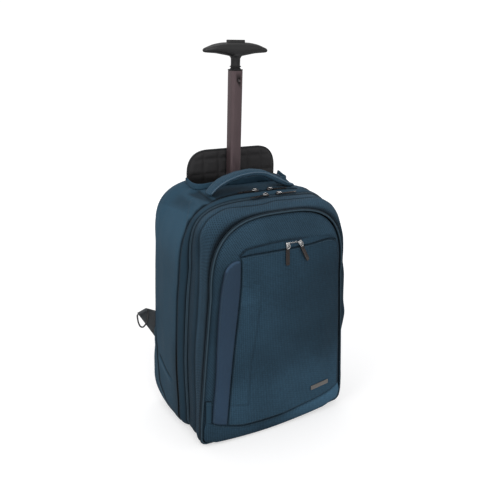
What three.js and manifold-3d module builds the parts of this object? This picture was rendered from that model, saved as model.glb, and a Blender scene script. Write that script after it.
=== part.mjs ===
// Wheeled backpack: soft hollow body, telescopic pole, two wheels. Millimetres, +Z up, front faces -Y.
import * as THREE from 'three';
import Module from 'manifold-3d';
import { mergeVertices } from 'three/addons/utils/BufferGeometryUtils.js';

const wasm = await Module();
wasm.setup();

// ---------------------------------------------------------------- driving dimensions
const Y_SHIFT = 20.87;        // puts the middle of the whole object's depth at y = 0
const LEAN = -0.017;          // the whole body leans forward by this much per mm of height
const WALL = 3;               // padded fabric wall
const GAP = 0.35;             // gap between pieces that meet
// Sections of the body, front to back. Columns: depth y0, lowest z, bottom corner radius,
// half widths at the foot (z 50), belly (z 150), chest (z 270) and shoulder, height of the shoulder,
// height of the top, and how square the top arch is.
const SECTIONS = [
  { y0: -120, zBot: 8, r: 20, foot: 166, belly: 159, chest: 149.5, zSh: 303, shoulder: 146.7, zTop: 447, square: 2.94 },
  { y0: -91, zBot: 6, r: 24, foot: 161, belly: 162.5, chest: 157, zSh: 350, shoulder: 153, zTop: 456, square: 4.4 },
  { y0: -61, zBot: 6, r: 25, foot: 162.5, belly: 166, chest: 161.5, zSh: 347, shoulder: 155.5, zTop: 460, square: 3.8 },
  { y0: -41, zBot: 6, r: 25, foot: 171.5, belly: 175, chest: 172, zSh: 307, shoulder: 169.5, zTop: 467, square: 3.33 },
  { y0: 20, zBot: 6, r: 26, foot: 171, belly: 172.5, chest: 169.5, zSh: 325, shoulder: 167, zTop: 473, square: 3.25 },
  { y0: 48, zBot: 7, r: 27, foot: 170, belly: 170, chest: 167, zSh: 345, shoulder: 164, zTop: 476.5, square: 3.2 },
  { y0: 68, zBot: 16, r: 28, foot: 169.5, belly: 168.5, chest: 165.5, zSh: 355, shoulder: 162.6, zTop: 479, square: 3.6 },
  { y0: 81, zBot: 31, r: 30, foot: 169, belly: 167.5, chest: 164.5, zSh: 360, shoulder: 161.8, zTop: 479.5, square: 3.6 },
  { y0: 87, zBot: 46, r: 32, foot: 168, belly: 166.5, chest: 163.5, zSh: 360, shoulder: 161, zTop: 478.5, square: 3.6 },
];
const Y_FRONT = -120, Y_ZIP_B = -61, Y_ZIP_A = -41, Y_BACK = 87;
const ZIP_W = 8;                       // width of a zip band
const PIPING_D = 5;                    // cord in the front seam
const BULGE = 11;                      // how far the front wall swells at its middle
const RING = { flat: 2, corner: 3, side: 6, arch: 8 };   // steps in a quarter of the outline

// front pocket and its strip: outline tables, x over z
const KICK_SEAM = [ // height of the kick seam over x
  { x: -158, z: 58 }, { x: -125, z: 42 }, { x: -69, z: 29 }, { x: -7, z: 28 }, { x: 58, z: 34 }, { x: 125, z: 43 }, { x: 158, z: 56 },
];
const STRIP = [ // the smooth strip left of the pocket: its two edges
  { z: 38, left: -146, right: -112 }, { z: 80, left: -144, right: -109.5 }, { z: 150, left: -137, right: -106.5 },
  { z: 216, left: -133.5, right: -102 }, { z: 280, left: -126, right: -95.5 }, { z: 330, left: -117, right: -91.5 }, { z: 362, left: -104, right: -90.5 },
];
const POCKET_TOP = [ // lower edge of the pocket's zip over x
  { x: -95, z: 374 }, { x: -60, z: 376 }, { x: 0, z: 376 }, { x: 58, z: 377.5 }, { x: 105, z: 381 }, { x: 124, z: 374 },
];
const POCKET_RIGHT = [ // right edge of the pocket over z
  { z: 45, x: 152 }, { z: 150, x: 147 }, { z: 270, x: 139 }, { z: 330, x: 134 }, { z: 374, x: 124 },
];
const POCKET_ZIP_H = 15;

// pole and grip
const POLE_X = -2, POLE_Y45 = 48.7, POLE_LEAN = -0.032;   // axis passes y = 48.7 at z = 450
const POLE_OUT = { w: 29, r: 8, wall: 2, z0: 36, z1: 438 };
const POLE_IN = { w: 24, r: 6.3, wall: 1.5, z0: 300, z1: 684 };
const NECK_R = 9.1;
const GRIP = [ // half of the grip: distance from its middle, upper and lower z, half depth
  { x: 0, top: 735, bot: 709, depth: 13 }, { x: 24, top: 734, bot: 712.5, depth: 13 }, { x: 44, top: 731, bot: 715.5, depth: 12.5 },
  { x: 60, top: 727, bot: 716.5, depth: 10 }, { x: 67, top: 724.2, bot: 717.2, depth: 7.5 }, { x: 69.5, top: 722.2, bot: 718.6, depth: 4 },
];
const BUTTON = { len: 38, wide: 11, z0: 735.5, z1: 740 };

// pole well, pad, handle
const WELL = { x0: -96.5, x1: 108.5, y0: 16, y1: 76.4, z0: 380 };
const PAD = { cx: 6, w: 99, r: 42, z0: 442, z1: 531, y0: 70.2, t: 13, lean: -0.017 };
const HANDLE = { yc: -29, wide: 28, thick: 11, steps: 16 };
const ARCH = [ // the handle's middle line, height over x
  { x: -98, z: 467 }, { x: -90, z: 475 }, { x: -78, z: 484 }, { x: -58, z: 492.5 }, { x: -32, z: 498.5 }, { x: -8, z: 500.5 },
  { x: 14, z: 498 }, { x: 38, z: 488.5 }, { x: 60, z: 477.5 }, { x: 76, z: 471 }, { x: 86, z: 469 },
];

// wheels and feet
const WHEEL = { x: 118, y: 68, r: 33, wide: 24, rimR: 25, boreR: 4.6 };
const HOUSING = { wide: 36, wall: 3, cavityR: 37, y0: 20, zTop: 76 };
const AXLE_R = 4;
const FOOT = { x: 112, y: -86, wide: 44, deep: 14, h: 4.6 };

// tabs and rings at the rear edges
const WING = { zLow: 133.5, zHigh: 203, yRoot: 89, xRoot: 158, tipIn: [180.5, 94, 212], tipOut: [200, 94, 205], t: 2 };
const D_RING = { wide: 25, tall: 30, wire: 3.4, ahead: 5.7 };

// ---------------------------------------------------------------- helpers
const lerp = (a, b, t) => a + (b - a) * t;

// monotone cubic through a table's rows, column c over column k
function curve(rows, k, c) {
  const x = rows.map((r) => r[k]), y = rows.map((r) => r[c]), n = x.length;
  const h = [], d = [];
  for (let i = 0; i < n - 1; i++) { h.push(x[i + 1] - x[i]); d.push((y[i + 1] - y[i]) / h[i]); }
  const m = [d[0]];
  for (let i = 1; i < n - 1; i++) m.push(d[i - 1] * d[i] <= 0 ? 0 : (2 * d[i - 1] * d[i]) / (d[i - 1] + d[i]));
  m.push(d[n - 2]);
  return (v) => {
    if (v <= x[0]) return y[0];
    if (v >= x[n - 1]) return y[n - 1];
    let i = 0;
    while (v > x[i + 1]) i++;
    const t = (v - x[i]) / h[i], t2 = t * t, t3 = t2 * t;
    return (2 * t3 - 3 * t2 + 1) * y[i] + (t3 - 2 * t2 + t) * h[i] * m[i] + (3 * t2 - 2 * t3) * y[i + 1] + (t3 - t2) * h[i] * m[i + 1];
  };
}

const COLS = Object.fromEntries(Object.keys(SECTIONS[0]).filter((c) => c !== 'y0').map((c) => [c, curve(SECTIONS, 'y0', c)]));
const sectionAt = (y0) => ({ y0, ...Object.fromEntries(Object.entries(COLS).map(([c, f]) => [c, f(y0)])) });

// half width of a section at a height below its shoulder
function halfWidth(s, z) {
  return curve([{ z: 50, w: s.foot }, { z: 150, w: s.belly }, { z: 270, w: s.chest }, { z: s.zSh, w: s.shoulder }], 'z', 'w')(z);
}

// how far the bottom sags between its corners, at a depth
const sagAt = curve([{ y: -120, sag: 6.6 }, { y: -106, sag: 2.4 }, { y: -96, sag: 0 }, { y: 90, sag: 0 }], 'y', 'sag');

// half outline, from the bottom's middle over the right side to the top's middle, moved inwards by inset
function halfOutline(s, inset) {
  const out = [], zb = s.zBot + inset, r = Math.max(3, s.r - inset), sag = sagAt(s.y0);
  const wc = halfWidth(s, zb + r) - inset;
  for (let i = 0; i < RING.flat; i++) out.push([((wc - r) * i) / RING.flat, zb - sag * (1 - (i / RING.flat) ** 2)]);
  for (let i = 0; i < RING.corner; i++) {
    const a = (i / RING.corner) * Math.PI / 2;
    out.push([wc - r + r * Math.sin(a), zb + r - r * Math.cos(a)]);
  }
  for (let i = 0; i < RING.side; i++) {
    const z = lerp(zb + r, s.zSh, i / RING.side);
    out.push([halfWidth(s, z) - inset, z]);
  }
  const w = s.shoulder - inset, h = s.zTop - inset - s.zSh;
  for (let i = 0; i <= RING.arch; i++) {
    const a = (i / RING.arch) * Math.PI / 2, c = Math.cos(a), q = Math.sin(a);
    const rho = (Math.abs(c) ** s.square + Math.abs(q) ** s.square) ** (-1 / s.square);
    out.push([w * rho * c, s.zSh + h * rho * q]);
  }
  out[out.length - 1][0] = 0;
  return out;
}
function outline(y0, inset = 0) {
  const half = halfOutline(sectionAt(y0), inset);
  return [...half, ...half.slice(1, -1).reverse().map(([x, z]) => [-x, z])];
}
const place = (y0) => ([x, z]) => [x, y0 + LEAN * z, z];
const ring = (y0, inset = 0, y = y0) => outline(y0, inset).map(place(y));

// geometry from points and faces, faces turned outwards
function body(points, faces) {
  let v = 0;
  for (const [a, b, c] of faces) {
    const [p, q, r] = [points[a], points[b], points[c]];
    v += p[0] * (q[1] * r[2] - q[2] * r[1]) + p[1] * (q[2] * r[0] - q[0] * r[2]) + p[2] * (q[0] * r[1] - q[1] * r[0]);
  }
  const g = new THREE.BufferGeometry();
  g.setAttribute('position', new THREE.Float32BufferAttribute(points.flat(), 3));
  g.setIndex(faces.flatMap(([a, b, c]) => (v < 0 ? [a, c, b] : [a, b, c])));
  g.computeVertexNormals();
  return g;
}

// closed body from rings of equal length; the list of rings closes on itself or ends in two fans
function loft(rings, { loop = false } = {}) {
  const n = rings[0].length, points = rings.flat(), faces = [];
  const m = rings.length, last = loop ? m : m - 1;
  for (let i = 0; i < last; i++) {
    for (let j = 0; j < n; j++) {
      const a = i * n + j, b = i * n + (j + 1) % n, c = ((i + 1) % m) * n + j, d = ((i + 1) % m) * n + (j + 1) % n;
      faces.push([a, b, d], [a, d, c]);
    }
  }
  if (!loop) {
    for (const [i, flip] of [[0, true], [m - 1, false]]) {
      const mid = points.length;
      const r = rings[i];
      points.push([0, 1, 2].map((k) => r.reduce((s, p) => s + p[k], 0) / n));
      for (let j = 0; j < n; j++) {
        const a = i * n + j, b = i * n + (j + 1) % n;
        faces.push(flip ? [mid, b, a] : [mid, a, b]);
      }
    }
  }
  return body(points, faces);
}

// plate between two equal grids of points
function plate(front, back) {
  const rows = front.length, cols = front[0].length, points = [...front.flat(), ...back.flat()], faces = [];
  const f = (i, j) => i * cols + j, k = (i, j) => rows * cols + i * cols + j;
  for (let i = 0; i < rows - 1; i++) {
    for (let j = 0; j < cols - 1; j++) {
      faces.push([f(i, j), f(i, j + 1), f(i + 1, j + 1)], [f(i, j), f(i + 1, j + 1), f(i + 1, j)]);
      faces.push([k(i, j), k(i + 1, j + 1), k(i, j + 1)], [k(i, j), k(i + 1, j), k(i + 1, j + 1)]);
    }
  }
  const edge = (a, b) => faces.push([f(...b), f(...a), k(...a)], [f(...b), k(...a), k(...b)]);
  for (let j = 0; j < cols - 1; j++) { edge([0, j], [0, j + 1]); edge([rows - 1, j + 1], [rows - 1, j]); }
  for (let i = 0; i < rows - 1; i++) { edge([i + 1, 0], [i, 0]); edge([i, cols - 1], [i + 1, cols - 1]); }
  return body(points, faces);
}

// booleans
function solid(geometry) {
  const g = geometry.clone();
  for (const name of Object.keys(g.attributes)) if (name !== 'position') g.deleteAttribute(name);
  const m = mergeVertices(g, 1e-4);
  const mesh = new wasm.Mesh({ numProp: 3, vertProperties: new Float32Array(m.attributes.position.array), triVerts: new Uint32Array(m.index.array) });
  mesh.merge();
  return new wasm.Manifold(mesh);
}
function unsolid(s) {
  const m = s.getMesh();
  const g = new THREE.BufferGeometry();
  g.setAttribute('position', new THREE.BufferAttribute(new Float32Array(m.vertProperties), 3));
  g.setIndex(new THREE.BufferAttribute(new Uint32Array(m.triVerts), 1));
  g.computeVertexNormals();
  return g;
}
const join = (...gs) => unsolid(gs.map(solid).reduce((a, b) => a.add(b)));
const cut = (g, ...tools) => unsolid(tools.map(solid).reduce((a, b) => a.subtract(b), solid(g)));
const box = (x0, x1, y0, y1, z0, z1) => new THREE.BoxGeometry(x1 - x0, y1 - y0, z1 - z0).translate((x0 + x1) / 2, (y0 + y1) / 2, (z0 + z1) / 2);
const cylinderX = (r, x0, x1, y, z, n = 20) => new THREE.CylinderGeometry(r, r, x1 - x0, n).rotateZ(Math.PI / 2).translate((x0 + x1) / 2, y, z);

const fabric = (c, r = 0.85) => new THREE.MeshStandardMaterial({ color: c, roughness: r, metalness: 0 });
const BLUE = fabric(0x1d3f57), BLUE_DARK = fabric(0x16324a), SMOOTH = fabric(0x1e3c58, 0.6), CORD = fabric(0x2b5068, 0.7);
const BLACK = fabric(0x17181b), TAPE = fabric(0x10263a, 0.8), PLASTIC = fabric(0x1c1c1e, 0.45), RUBBER = fabric(0x121212, 0.9);
const POLE = new THREE.MeshStandardMaterial({ color: 0x4a3438, roughness: 0.35, metalness: 0.8 });
const METAL = new THREE.MeshStandardMaterial({ color: 0x6f6a66, roughness: 0.3, metalness: 1 });

const bag = new THREE.Group();
bag.position.set(0, Y_SHIFT, 0);
function add(name, geometry, material) {
  const mesh = new THREE.Mesh(geometry, material);
  mesh.name = name;
  bag.add(mesh);
  return mesh;
}

// ---------------------------------------------------------------- body
// band round the bag between two depths
function band(y0, y1, steps, wall = WALL, swell = 0) {
  const rings = [];
  for (let i = 0; i <= steps; i++) {
    const t = i / steps;
    rings.push(ring(lerp(y0, y1, t), -swell * Math.sin(Math.PI * t)));
  }
  for (let i = steps; i >= 0; i--) {
    const t = i / steps;
    rings.push(ring(lerp(y0, y1, t), wall - swell * Math.sin(Math.PI * t)));
  }
  return loft(rings, { loop: true });
}

// wheel wells and the pole well are cut out of the hollow shell
const wellCut = box(WELL.x0, WELL.x1, WELL.y0, WELL.y1, WELL.z0 + 60, 520);
const wheelCuts = [-1, 1].map((s) => box(s * WHEEL.x - HOUSING.wide / 2 - GAP, s * WHEEL.x + HOUSING.wide / 2 + GAP, HOUSING.y0 - GAP, 130, -10, HOUSING.zTop + GAP));
const shellDepths = [Y_ZIP_A + ZIP_W / 2 + GAP, 20, 48, 68, 81, Y_BACK];
const outerRings = shellDepths.map((y) => ring(y));
const innerRings = shellDepths.map((y, i) => ring(y, WALL, i === shellDepths.length - 1 ? Y_BACK - WALL : Math.min(y, Y_BACK - WALL - 1))).reverse();
add('rear_shell', cut(tub(outerRings, innerRings), wellCut, ...wheelCuts), BLUE);

// tub: open at its first ring, closed by a wall at its last
function tub(outer, inner) {
  const rings = [...outer, ...inner], n = outer[0].length, points = rings.flat(), faces = [];
  const k = outer.length;
  for (let i = 0; i < rings.length; i++) {
    if (i === k - 1) continue;                       // the closed end has its two walls instead
    const m = (i + 1) % rings.length;
    for (let j = 0; j < n; j++) {
      const a = i * n + j, b = i * n + (j + 1) % n, c = m * n + j, d = m * n + (j + 1) % n;
      faces.push([a, b, d], [a, d, c]);
    }
  }
  for (const [i, flip] of [[k - 1, false], [k, true]]) {
    const mid = points.length, r = rings[i];
    points.push([0, r.reduce((s, p) => s + p[1], 0) / n, r.reduce((s, p) => s + p[2], 0) / n]);
    for (let j = 0; j < n; j++) {
      const a = i * n + j, b = i * n + (j + 1) % n;
      faces.push(flip ? [mid, b, a] : [mid, a, b]);
    }
  }
  return body(points, faces);
}

add('zip_a', band(Y_ZIP_A - ZIP_W / 2, Y_ZIP_A + ZIP_W / 2, 1, 2.2), TAPE);
add('mid_gusset', band(Y_ZIP_B + ZIP_W / 2 + GAP, Y_ZIP_A - ZIP_W / 2 - GAP, 1), BLUE);
add('zip_b', band(Y_ZIP_B - ZIP_W / 2, Y_ZIP_B + ZIP_W / 2, 1, 2.2), TAPE);
add('front_gusset', band(Y_FRONT + PIPING_D / 2 + GAP, Y_ZIP_B - ZIP_W / 2 - GAP, 3, WALL, 1.5), BLUE);

// corded seam round the front
{
  const rings = [], n = 6;
  for (let i = 0; i < n; i++) {
    const a = (i / n) * 2 * Math.PI;
    rings.push(ring(Y_FRONT, PIPING_D / 2 - 1 - (PIPING_D / 2) * Math.cos(a), Y_FRONT + (PIPING_D / 2) * Math.sin(a)));
  }
  add('front_piping', loft(rings, { loop: true }), CORD);
}

// the front wall's surface
const FRONT = sectionAt(Y_FRONT);
function frontWidth(z) {
  if (z <= FRONT.zSh) return halfWidth(FRONT, z);
  const t = Math.min(1, (z - FRONT.zSh) / (FRONT.zTop - FRONT.zSh));
  return FRONT.shoulder * (1 - t ** FRONT.square) ** (1 / FRONT.square);
}
function frontY(x, z) {
  const u = Math.min(1, Math.abs(x) / Math.max(20, frontWidth(z)));
  const t = Math.min(1, Math.max(0, (z - FRONT.zBot) / (FRONT.zTop - FRONT.zBot)));
  const tall = 0.45 + 0.55 * Math.sin(Math.PI * t) + 0.4 * Math.exp(-((t / 0.14) ** 2));
  return Y_FRONT + LEAN * z - BULGE * (1 - u ** 2.6) * tall * Math.min(1, (1 - t) * 6) - 1.2;
}
{
  const scales = [1, 0.9, 0.7, 0.35], edge = outline(Y_FRONT, PIPING_D + 0.9);
  const rim = (k, dy) => edge.map(([x, z]) => { const X = x * k, Z = lerp(228, z, k); return [X, frontY(X, Z) + dy, Z]; });
  const rings = [...scales.map((k) => rim(k, 0)).reverse(), ...scales.map((k) => rim(k, WALL))];
  add('front_panel', loft(rings), BLUE);
}

// plates that lie on the front wall, between two side curves and two end curves
function onFront({ left, right, low, high, cols, rows, lift, thick }) {
  const grid = (dy) => Array.from({ length: rows + 1 }, (_, i) => Array.from({ length: cols + 1 }, (_, j) => {
    const s = j / cols, t = i / rows;
    let z = lerp(150, 300, t), x = 0;
    for (let k = 0; k < 4; k++) { x = lerp(left(z), right(z), s); z = lerp(low(x), high(x), t); }
    return [x, frontY(x, z) - lift - dy, z];
  }));
  return plate(grid(thick), grid(0));
}
const kickZ = curve(KICK_SEAM, 'x', 'z'), stripL = curve(STRIP, 'z', 'left'), stripR = curve(STRIP, 'z', 'right');
const pocketTop = curve(POCKET_TOP, 'x', 'z'), pocketRight = curve(POCKET_RIGHT, 'z', 'x');
const LIFT = 1.4;
add('pocket_panel', onFront({ left: (z) => stripR(z) + 0.5, right: pocketRight, low: (x) => kickZ(x) + 0.5, high: pocketTop, cols: 7, rows: 7, lift: LIFT, thick: 2.4 }), BLUE);
add('pocket_trim', onFront({ left: stripL, right: (z) => stripR(z) - 0.5, low: (x) => kickZ(x) + 1.4, high: (x) => curve([{ x: -134, z: 338 }, { x: -118, z: 356 }, { x: -91, z: 368 }], 'x', 'z')(x), cols: 2, rows: 8, lift: LIFT, thick: 2.6 }), SMOOTH);
add('pocket_zip', onFront({ left: () => -84, right: () => 126, low: (x) => pocketTop(x) + 1, high: (x) => pocketTop(x) + POCKET_ZIP_H * Math.min(1, (128 - x) / 60) + 2, cols: 8, rows: 1, lift: LIFT, thick: 2.4 }), BLUE_DARK);
add('kick_panel', onFront({ left: () => -150, right: () => 150, low: () => 20, high: (x) => kickZ(x) - 0.5, cols: 10, rows: 1, lift: LIFT, thick: 2.2 }), BLUE);
{
  const front = frontY(99, 70) - LIFT - 2.4 - 1.2;
  const slope = (frontY(121, 70) - frontY(77, 70)) / 44;
  const p = new THREE.BoxGeometry(45, 1.6, 9).rotateZ(Math.atan(slope)).translate(99, front - 0.6, 70);
  add('label_plate', p, METAL);
}

// ---------------------------------------------------------------- pole well, pad and back
// rounded rectangle in X and Z, extruded along Y
function slab(x0, x1, z0, z1, r, y0, t, lean, seg = 3, depthSteps = null) {
  const pts = [];
  const corners = [[x1 - r[0], z0 + r[0], -90, r[0]], [x1 - r[1], z1 - r[1], 0, r[1]], [x0 + r[1], z1 - r[1], 90, r[1]], [x0 + r[0], z0 + r[0], 180, r[0]]];
  for (const [cx, cz, a0, rad] of corners) for (let i = 0; i <= seg; i++) {
    const a = ((a0 + (90 * i) / seg) * Math.PI) / 180;
    pts.push([cx + rad * Math.cos(a), cz + rad * Math.sin(a)]);
  }
  const mx = (x0 + x1) / 2, mz = (z0 + z1) / 2;
  const steps = depthSteps ?? [{ y: 0, in: 0 }, { y: t, in: 0 }];
  return loft(steps.map((s) => pts.map(([x, z]) => {
    const kx = (Math.abs(x1 - x0) / 2 - s.in) / (Math.abs(x1 - x0) / 2), kz = (Math.abs(z1 - z0) / 2 - s.in) / (Math.abs(z1 - z0) / 2);
    const X = mx + (x - mx) * kx, Z = mz + (z - mz) * kz;
    return [X, y0 + s.y + lean * Z, Z];
  })));
}
const soft = (t, e = 4) => [{ y: 0, in: e }, { y: e * 0.7, in: 0 }, { y: t - e * 0.7, in: 0 }, { y: t, in: e }];
// the pad's depth is measured at z = 0 along the lean
add('back_pad', slab(PAD.cx - PAD.w, PAD.cx + PAD.w, PAD.z0, PAD.z1, [8, PAD.r], PAD.y0, PAD.t, PAD.lean, 4, soft(PAD.t, 5)), BLACK);
add('back_panel', slab(-140, 140, 86, 452, [24, 40], Y_BACK + 2 + GAP, 9, LEAN, 3, [{ y: -1.4, in: 0 }, { y: 5, in: 0 }, { y: 9, in: 6 }]), BLACK);
for (const [name, s] of [['strap_left', -1], ['strap_right', 1]]) {
  // shoulder strap: wide padded part above, narrow webbing below, into the pocket
  const rows = [{ z: 440, x: 46, w: 26 }, { z: 400, x: 52, w: 31 }, { z: 300, x: 66, w: 31 }, { z: 225, x: 72, w: 25 }, { z: 205, x: 73, w: 13 }, { z: 184, x: 74, w: 13 }];
  const y0 = Y_BACK + 11.4 + GAP, t = (r) => (r.w < 15 ? 3 : 11);
  add(name, loft(rows.map((r) => [[-1, 0], [1, 0], [1, 0.6], [0.75, 1], [-0.75, 1], [-1, 0.6]].map(([u, v]) => [s * r.x + u * r.w, y0 + v * t(r) + LEAN * r.z, r.z]))), BLACK);
}
add('stow_pocket', slab(-125, 125, 92, 180, [18, 6], Y_BACK + 11.4 + GAP, 8, LEAN, 2, [{ y: 0, in: 0 }, { y: 5, in: 0 }, { y: 8, in: 5 }]), BLUE);

// rim of the pole well: a strap of fabric standing along the front and sides of the opening
{
  const path = [[WELL.x0 - 3, 56], [WELL.x0 - 3, 34], [WELL.x0 + 12, 15], [-45, 8], [3, 6], [50, 8], [WELL.x1 - 12, 15], [WELL.x1 + 3, 34], [WELL.x1 + 3, 56]];
  const topAt = (x, y) => { // height of the shell's top over x
    const s = sectionAt(y - LEAN * 470), u = Math.min(1, Math.abs(x) / s.shoulder);
    return s.zSh + (s.zTop - s.zSh) * (1 - u ** s.square) ** (1 / s.square);
  };
  const rings = path.map(([x, y], i) => {
    const a = path[Math.max(0, i - 1)], b = path[Math.min(path.length - 1, i + 1)];
    const dx = b[0] - a[0], dy = b[1] - a[1], l = Math.hypot(dx, dy), nx = -dy / l, ny = dx / l, z = topAt(x, y) + 1.8;
    return [[-1.5, 0], [1.5, 0], [1.5, 9], [-1.5, 9]].map(([u, v]) => [x + nx * u, y + ny * u, z + v]);
  });
  add('well_rim', loft(rings), BLUE);
}

// carry handle: padded strap in an arch
{
  const rings = [], height = curve(ARCH, 'x', 'z'), x0 = ARCH[0].x, x1 = ARCH[ARCH.length - 1].x;
  for (let i = 0; i <= HANDLE.steps; i++) {
    const x = lerp(x0, x1, i / HANDLE.steps), z = height(x), slope = (height(Math.min(x1, x + 3)) - height(Math.max(x0, x - 3))) / (Math.min(x1, x + 3) - Math.max(x0, x - 3));
    const l = Math.hypot(1, slope), nx = -slope / l, nz = 1 / l, t = HANDLE.thick * Math.min(1, 0.55 + 3 * Math.min(i, HANDLE.steps - i) / HANDLE.steps);
    rings.push([[-0.5, -0.25], [-0.5, 0.25], [-0.3, 0.5], [0.3, 0.5], [0.5, 0.25], [0.5, -0.25], [0.3, -0.5], [-0.3, -0.5]].map(([v, u]) =>
      [x + nx * u * t, HANDLE.yc + v * HANDLE.wide, z + nz * u * t]));
  }
  add('carry_handle', loft(rings), BLUE);
}

// ---------------------------------------------------------------- pole
const poleY = (z) => POLE_Y45 + POLE_LEAN * (z - 450);
function squareTube(w, r, z0, z1, seg = 2) {
  const out = [];
  for (const z of [z0, z1]) {
    const pts = [];
    for (const [sx, sy, a0] of [[1, -1, -90], [1, 1, 0], [-1, 1, 90], [-1, -1, 180]]) for (let i = 0; i <= seg; i++) {
      const a = ((a0 + (90 * i) / seg) * Math.PI) / 180;
      pts.push([POLE_X + sx * (w / 2 - r) + r * Math.cos(a), poleY(z) + sy * (w / 2 - r) + r * Math.sin(a), z]);
    }
    out.push(pts);
  }
  return loft(out);
}
const round = (r, z, n = 16) => Array.from({ length: n }, (_, i) => [POLE_X + r * Math.cos((2 * Math.PI * i) / n), poleY(z) + r * Math.sin((2 * Math.PI * i) / n), z]);
add('pole_outer', cut(squareTube(POLE_OUT.w, POLE_OUT.r, POLE_OUT.z0, POLE_OUT.z1), squareTube(POLE_OUT.w - 2 * POLE_OUT.wall, POLE_OUT.r - POLE_OUT.wall, POLE_OUT.z0 + 4, POLE_OUT.z1 + 5)), PLASTIC);
add('pole_inner', cut(squareTube(POLE_IN.w, POLE_IN.r, POLE_IN.z0, POLE_IN.z1), squareTube(POLE_IN.w - 2 * POLE_IN.wall, POLE_IN.r - POLE_IN.wall, POLE_IN.z0 - 5, POLE_IN.z1 - 3)), POLE);
add('pole_collar', join(
  squareTube(POLE_IN.w + 1, POLE_IN.r + 0.4, POLE_IN.z1 + GAP, POLE_IN.z1 + 2.5),
  loft([round(11.8, 686), round(NECK_R, 689), round(NECK_R, 690.5), round(11, 691), round(11, 692.4), round(NECK_R, 692.9), round(NECK_R, 708.4)]),
), PLASTIC);
{
  const rows = [...GRIP.slice(1).reverse().map((r) => ({ ...r, x: -r.x })), ...GRIP];
  const rings = rows.map((r) => Array.from({ length: 12 }, (_, i) => {
    const a = (2 * Math.PI * (i + 0.5)) / 12, c = Math.cos(a), s = Math.sin(a), q = 2.4, rho = (Math.abs(c) ** q + Math.abs(s) ** q) ** (-1 / q);
    return [POLE_X + r.x, poleY(722) + r.depth * rho * c, (r.top + r.bot) / 2 + ((r.top - r.bot) / 2) * rho * s];
  }));
  add('grip', cut(loft(rings), box(POLE_X - BUTTON.len / 2 - 0.6, POLE_X + BUTTON.len / 2 + 0.6, poleY(722) - BUTTON.wide / 2 - 0.6, poleY(722) + BUTTON.wide / 2 + 0.6, 727, 745)), PLASTIC);
  const b = [[-1, -0.6], [-0.8, -1], [0.8, -1], [1, -0.6], [1, 0.6], [0.8, 1], [-0.8, 1], [-1, 0.6]];
  const at = (k, z) => b.map(([u, v]) => [POLE_X + (u * BUTTON.len * k) / 2, poleY(722) + (v * BUTTON.wide * k) / 2, z]);
  add('grip_button', loft([at(1, 731), at(1, BUTTON.z1 - 2), at(0.9, BUTTON.z1)]), PLASTIC);
}

// ---------------------------------------------------------------- zip pulls
// slider with a flat pull; the pull runs from the slider along dir, lying on the surface whose normal is up
function pull(name, at, dir, up, { len = 40, wide = 8.6, t = 1.6 } = {}) {
  const d = new THREE.Vector3(...dir).normalize(), n = new THREE.Vector3(...up).normalize();
  n.addScaledVector(d, -n.dot(d)).normalize();
  const s = new THREE.Vector3().crossVectors(n, d);
  const shape = [[3, -0.3], [9, -0.5], [len - 2, -0.5], [len, -0.25], [len, 0.25], [len - 2, 0.5], [9, 0.5], [3, 0.3]];
  const at3 = new THREE.Vector3(...at);
  const p = (a, b, c) => at3.clone().addScaledVector(d, a).addScaledVector(s, b).addScaledVector(n, c).toArray();
  const pullPlate = loft([0.6, 0.6 + t].map((h) => shape.map(([a, b]) => p(a, b * wide, h))));
  const slider = loft([0, 3.6].map((h) => [[-5, -3], [-3, -4.4], [5, -4.4], [6, -3], [6, 3], [5, 4.4], [-3, 4.4], [-5, 3]].map(([a, b]) => p(a, b, h))));
  add(name, join(slider, pullPlate), METAL);
}
const topOf = (y0, x) => {
  const s = sectionAt(y0), u = Math.min(1, Math.abs(x) / s.shoulder);
  return s.zSh + (s.zTop - s.zSh) * (1 - u ** s.square) ** (1 / s.square);
};
const onTop = (y0, x, h = 0.5) => [x, y0 + LEAN * topOf(y0, x), topOf(y0, x) + h];
pull('pull_a_left', onTop(Y_ZIP_A, -7, 0.6), [-1, -0.03, 0], [0, 0, 1]);
pull('pull_a_right', onTop(Y_ZIP_A, 22, 0.6), [1, -0.03, -0.02], [0, 0, 1]);
pull('pull_b_left', onTop(Y_ZIP_B, 4, 2.2), [-1, -0.25, 0.01], [0, 0, 1]);
pull('pull_b_right', onTop(Y_ZIP_B, 30, 2.2), [1, -0.04, 0], [0, 0, 1]);
const onPocket = (x, z) => [x, frontY(x, z) - LIFT - 4.6, z];
pull('pull_pocket_left', onPocket(6, 386), [0.02, -0.03, -1], [0, -1, 0]);
pull('pull_pocket_right', onPocket(33, 386), [0.42, -0.12, -0.9], [0.3, -1, 0]);

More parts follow.
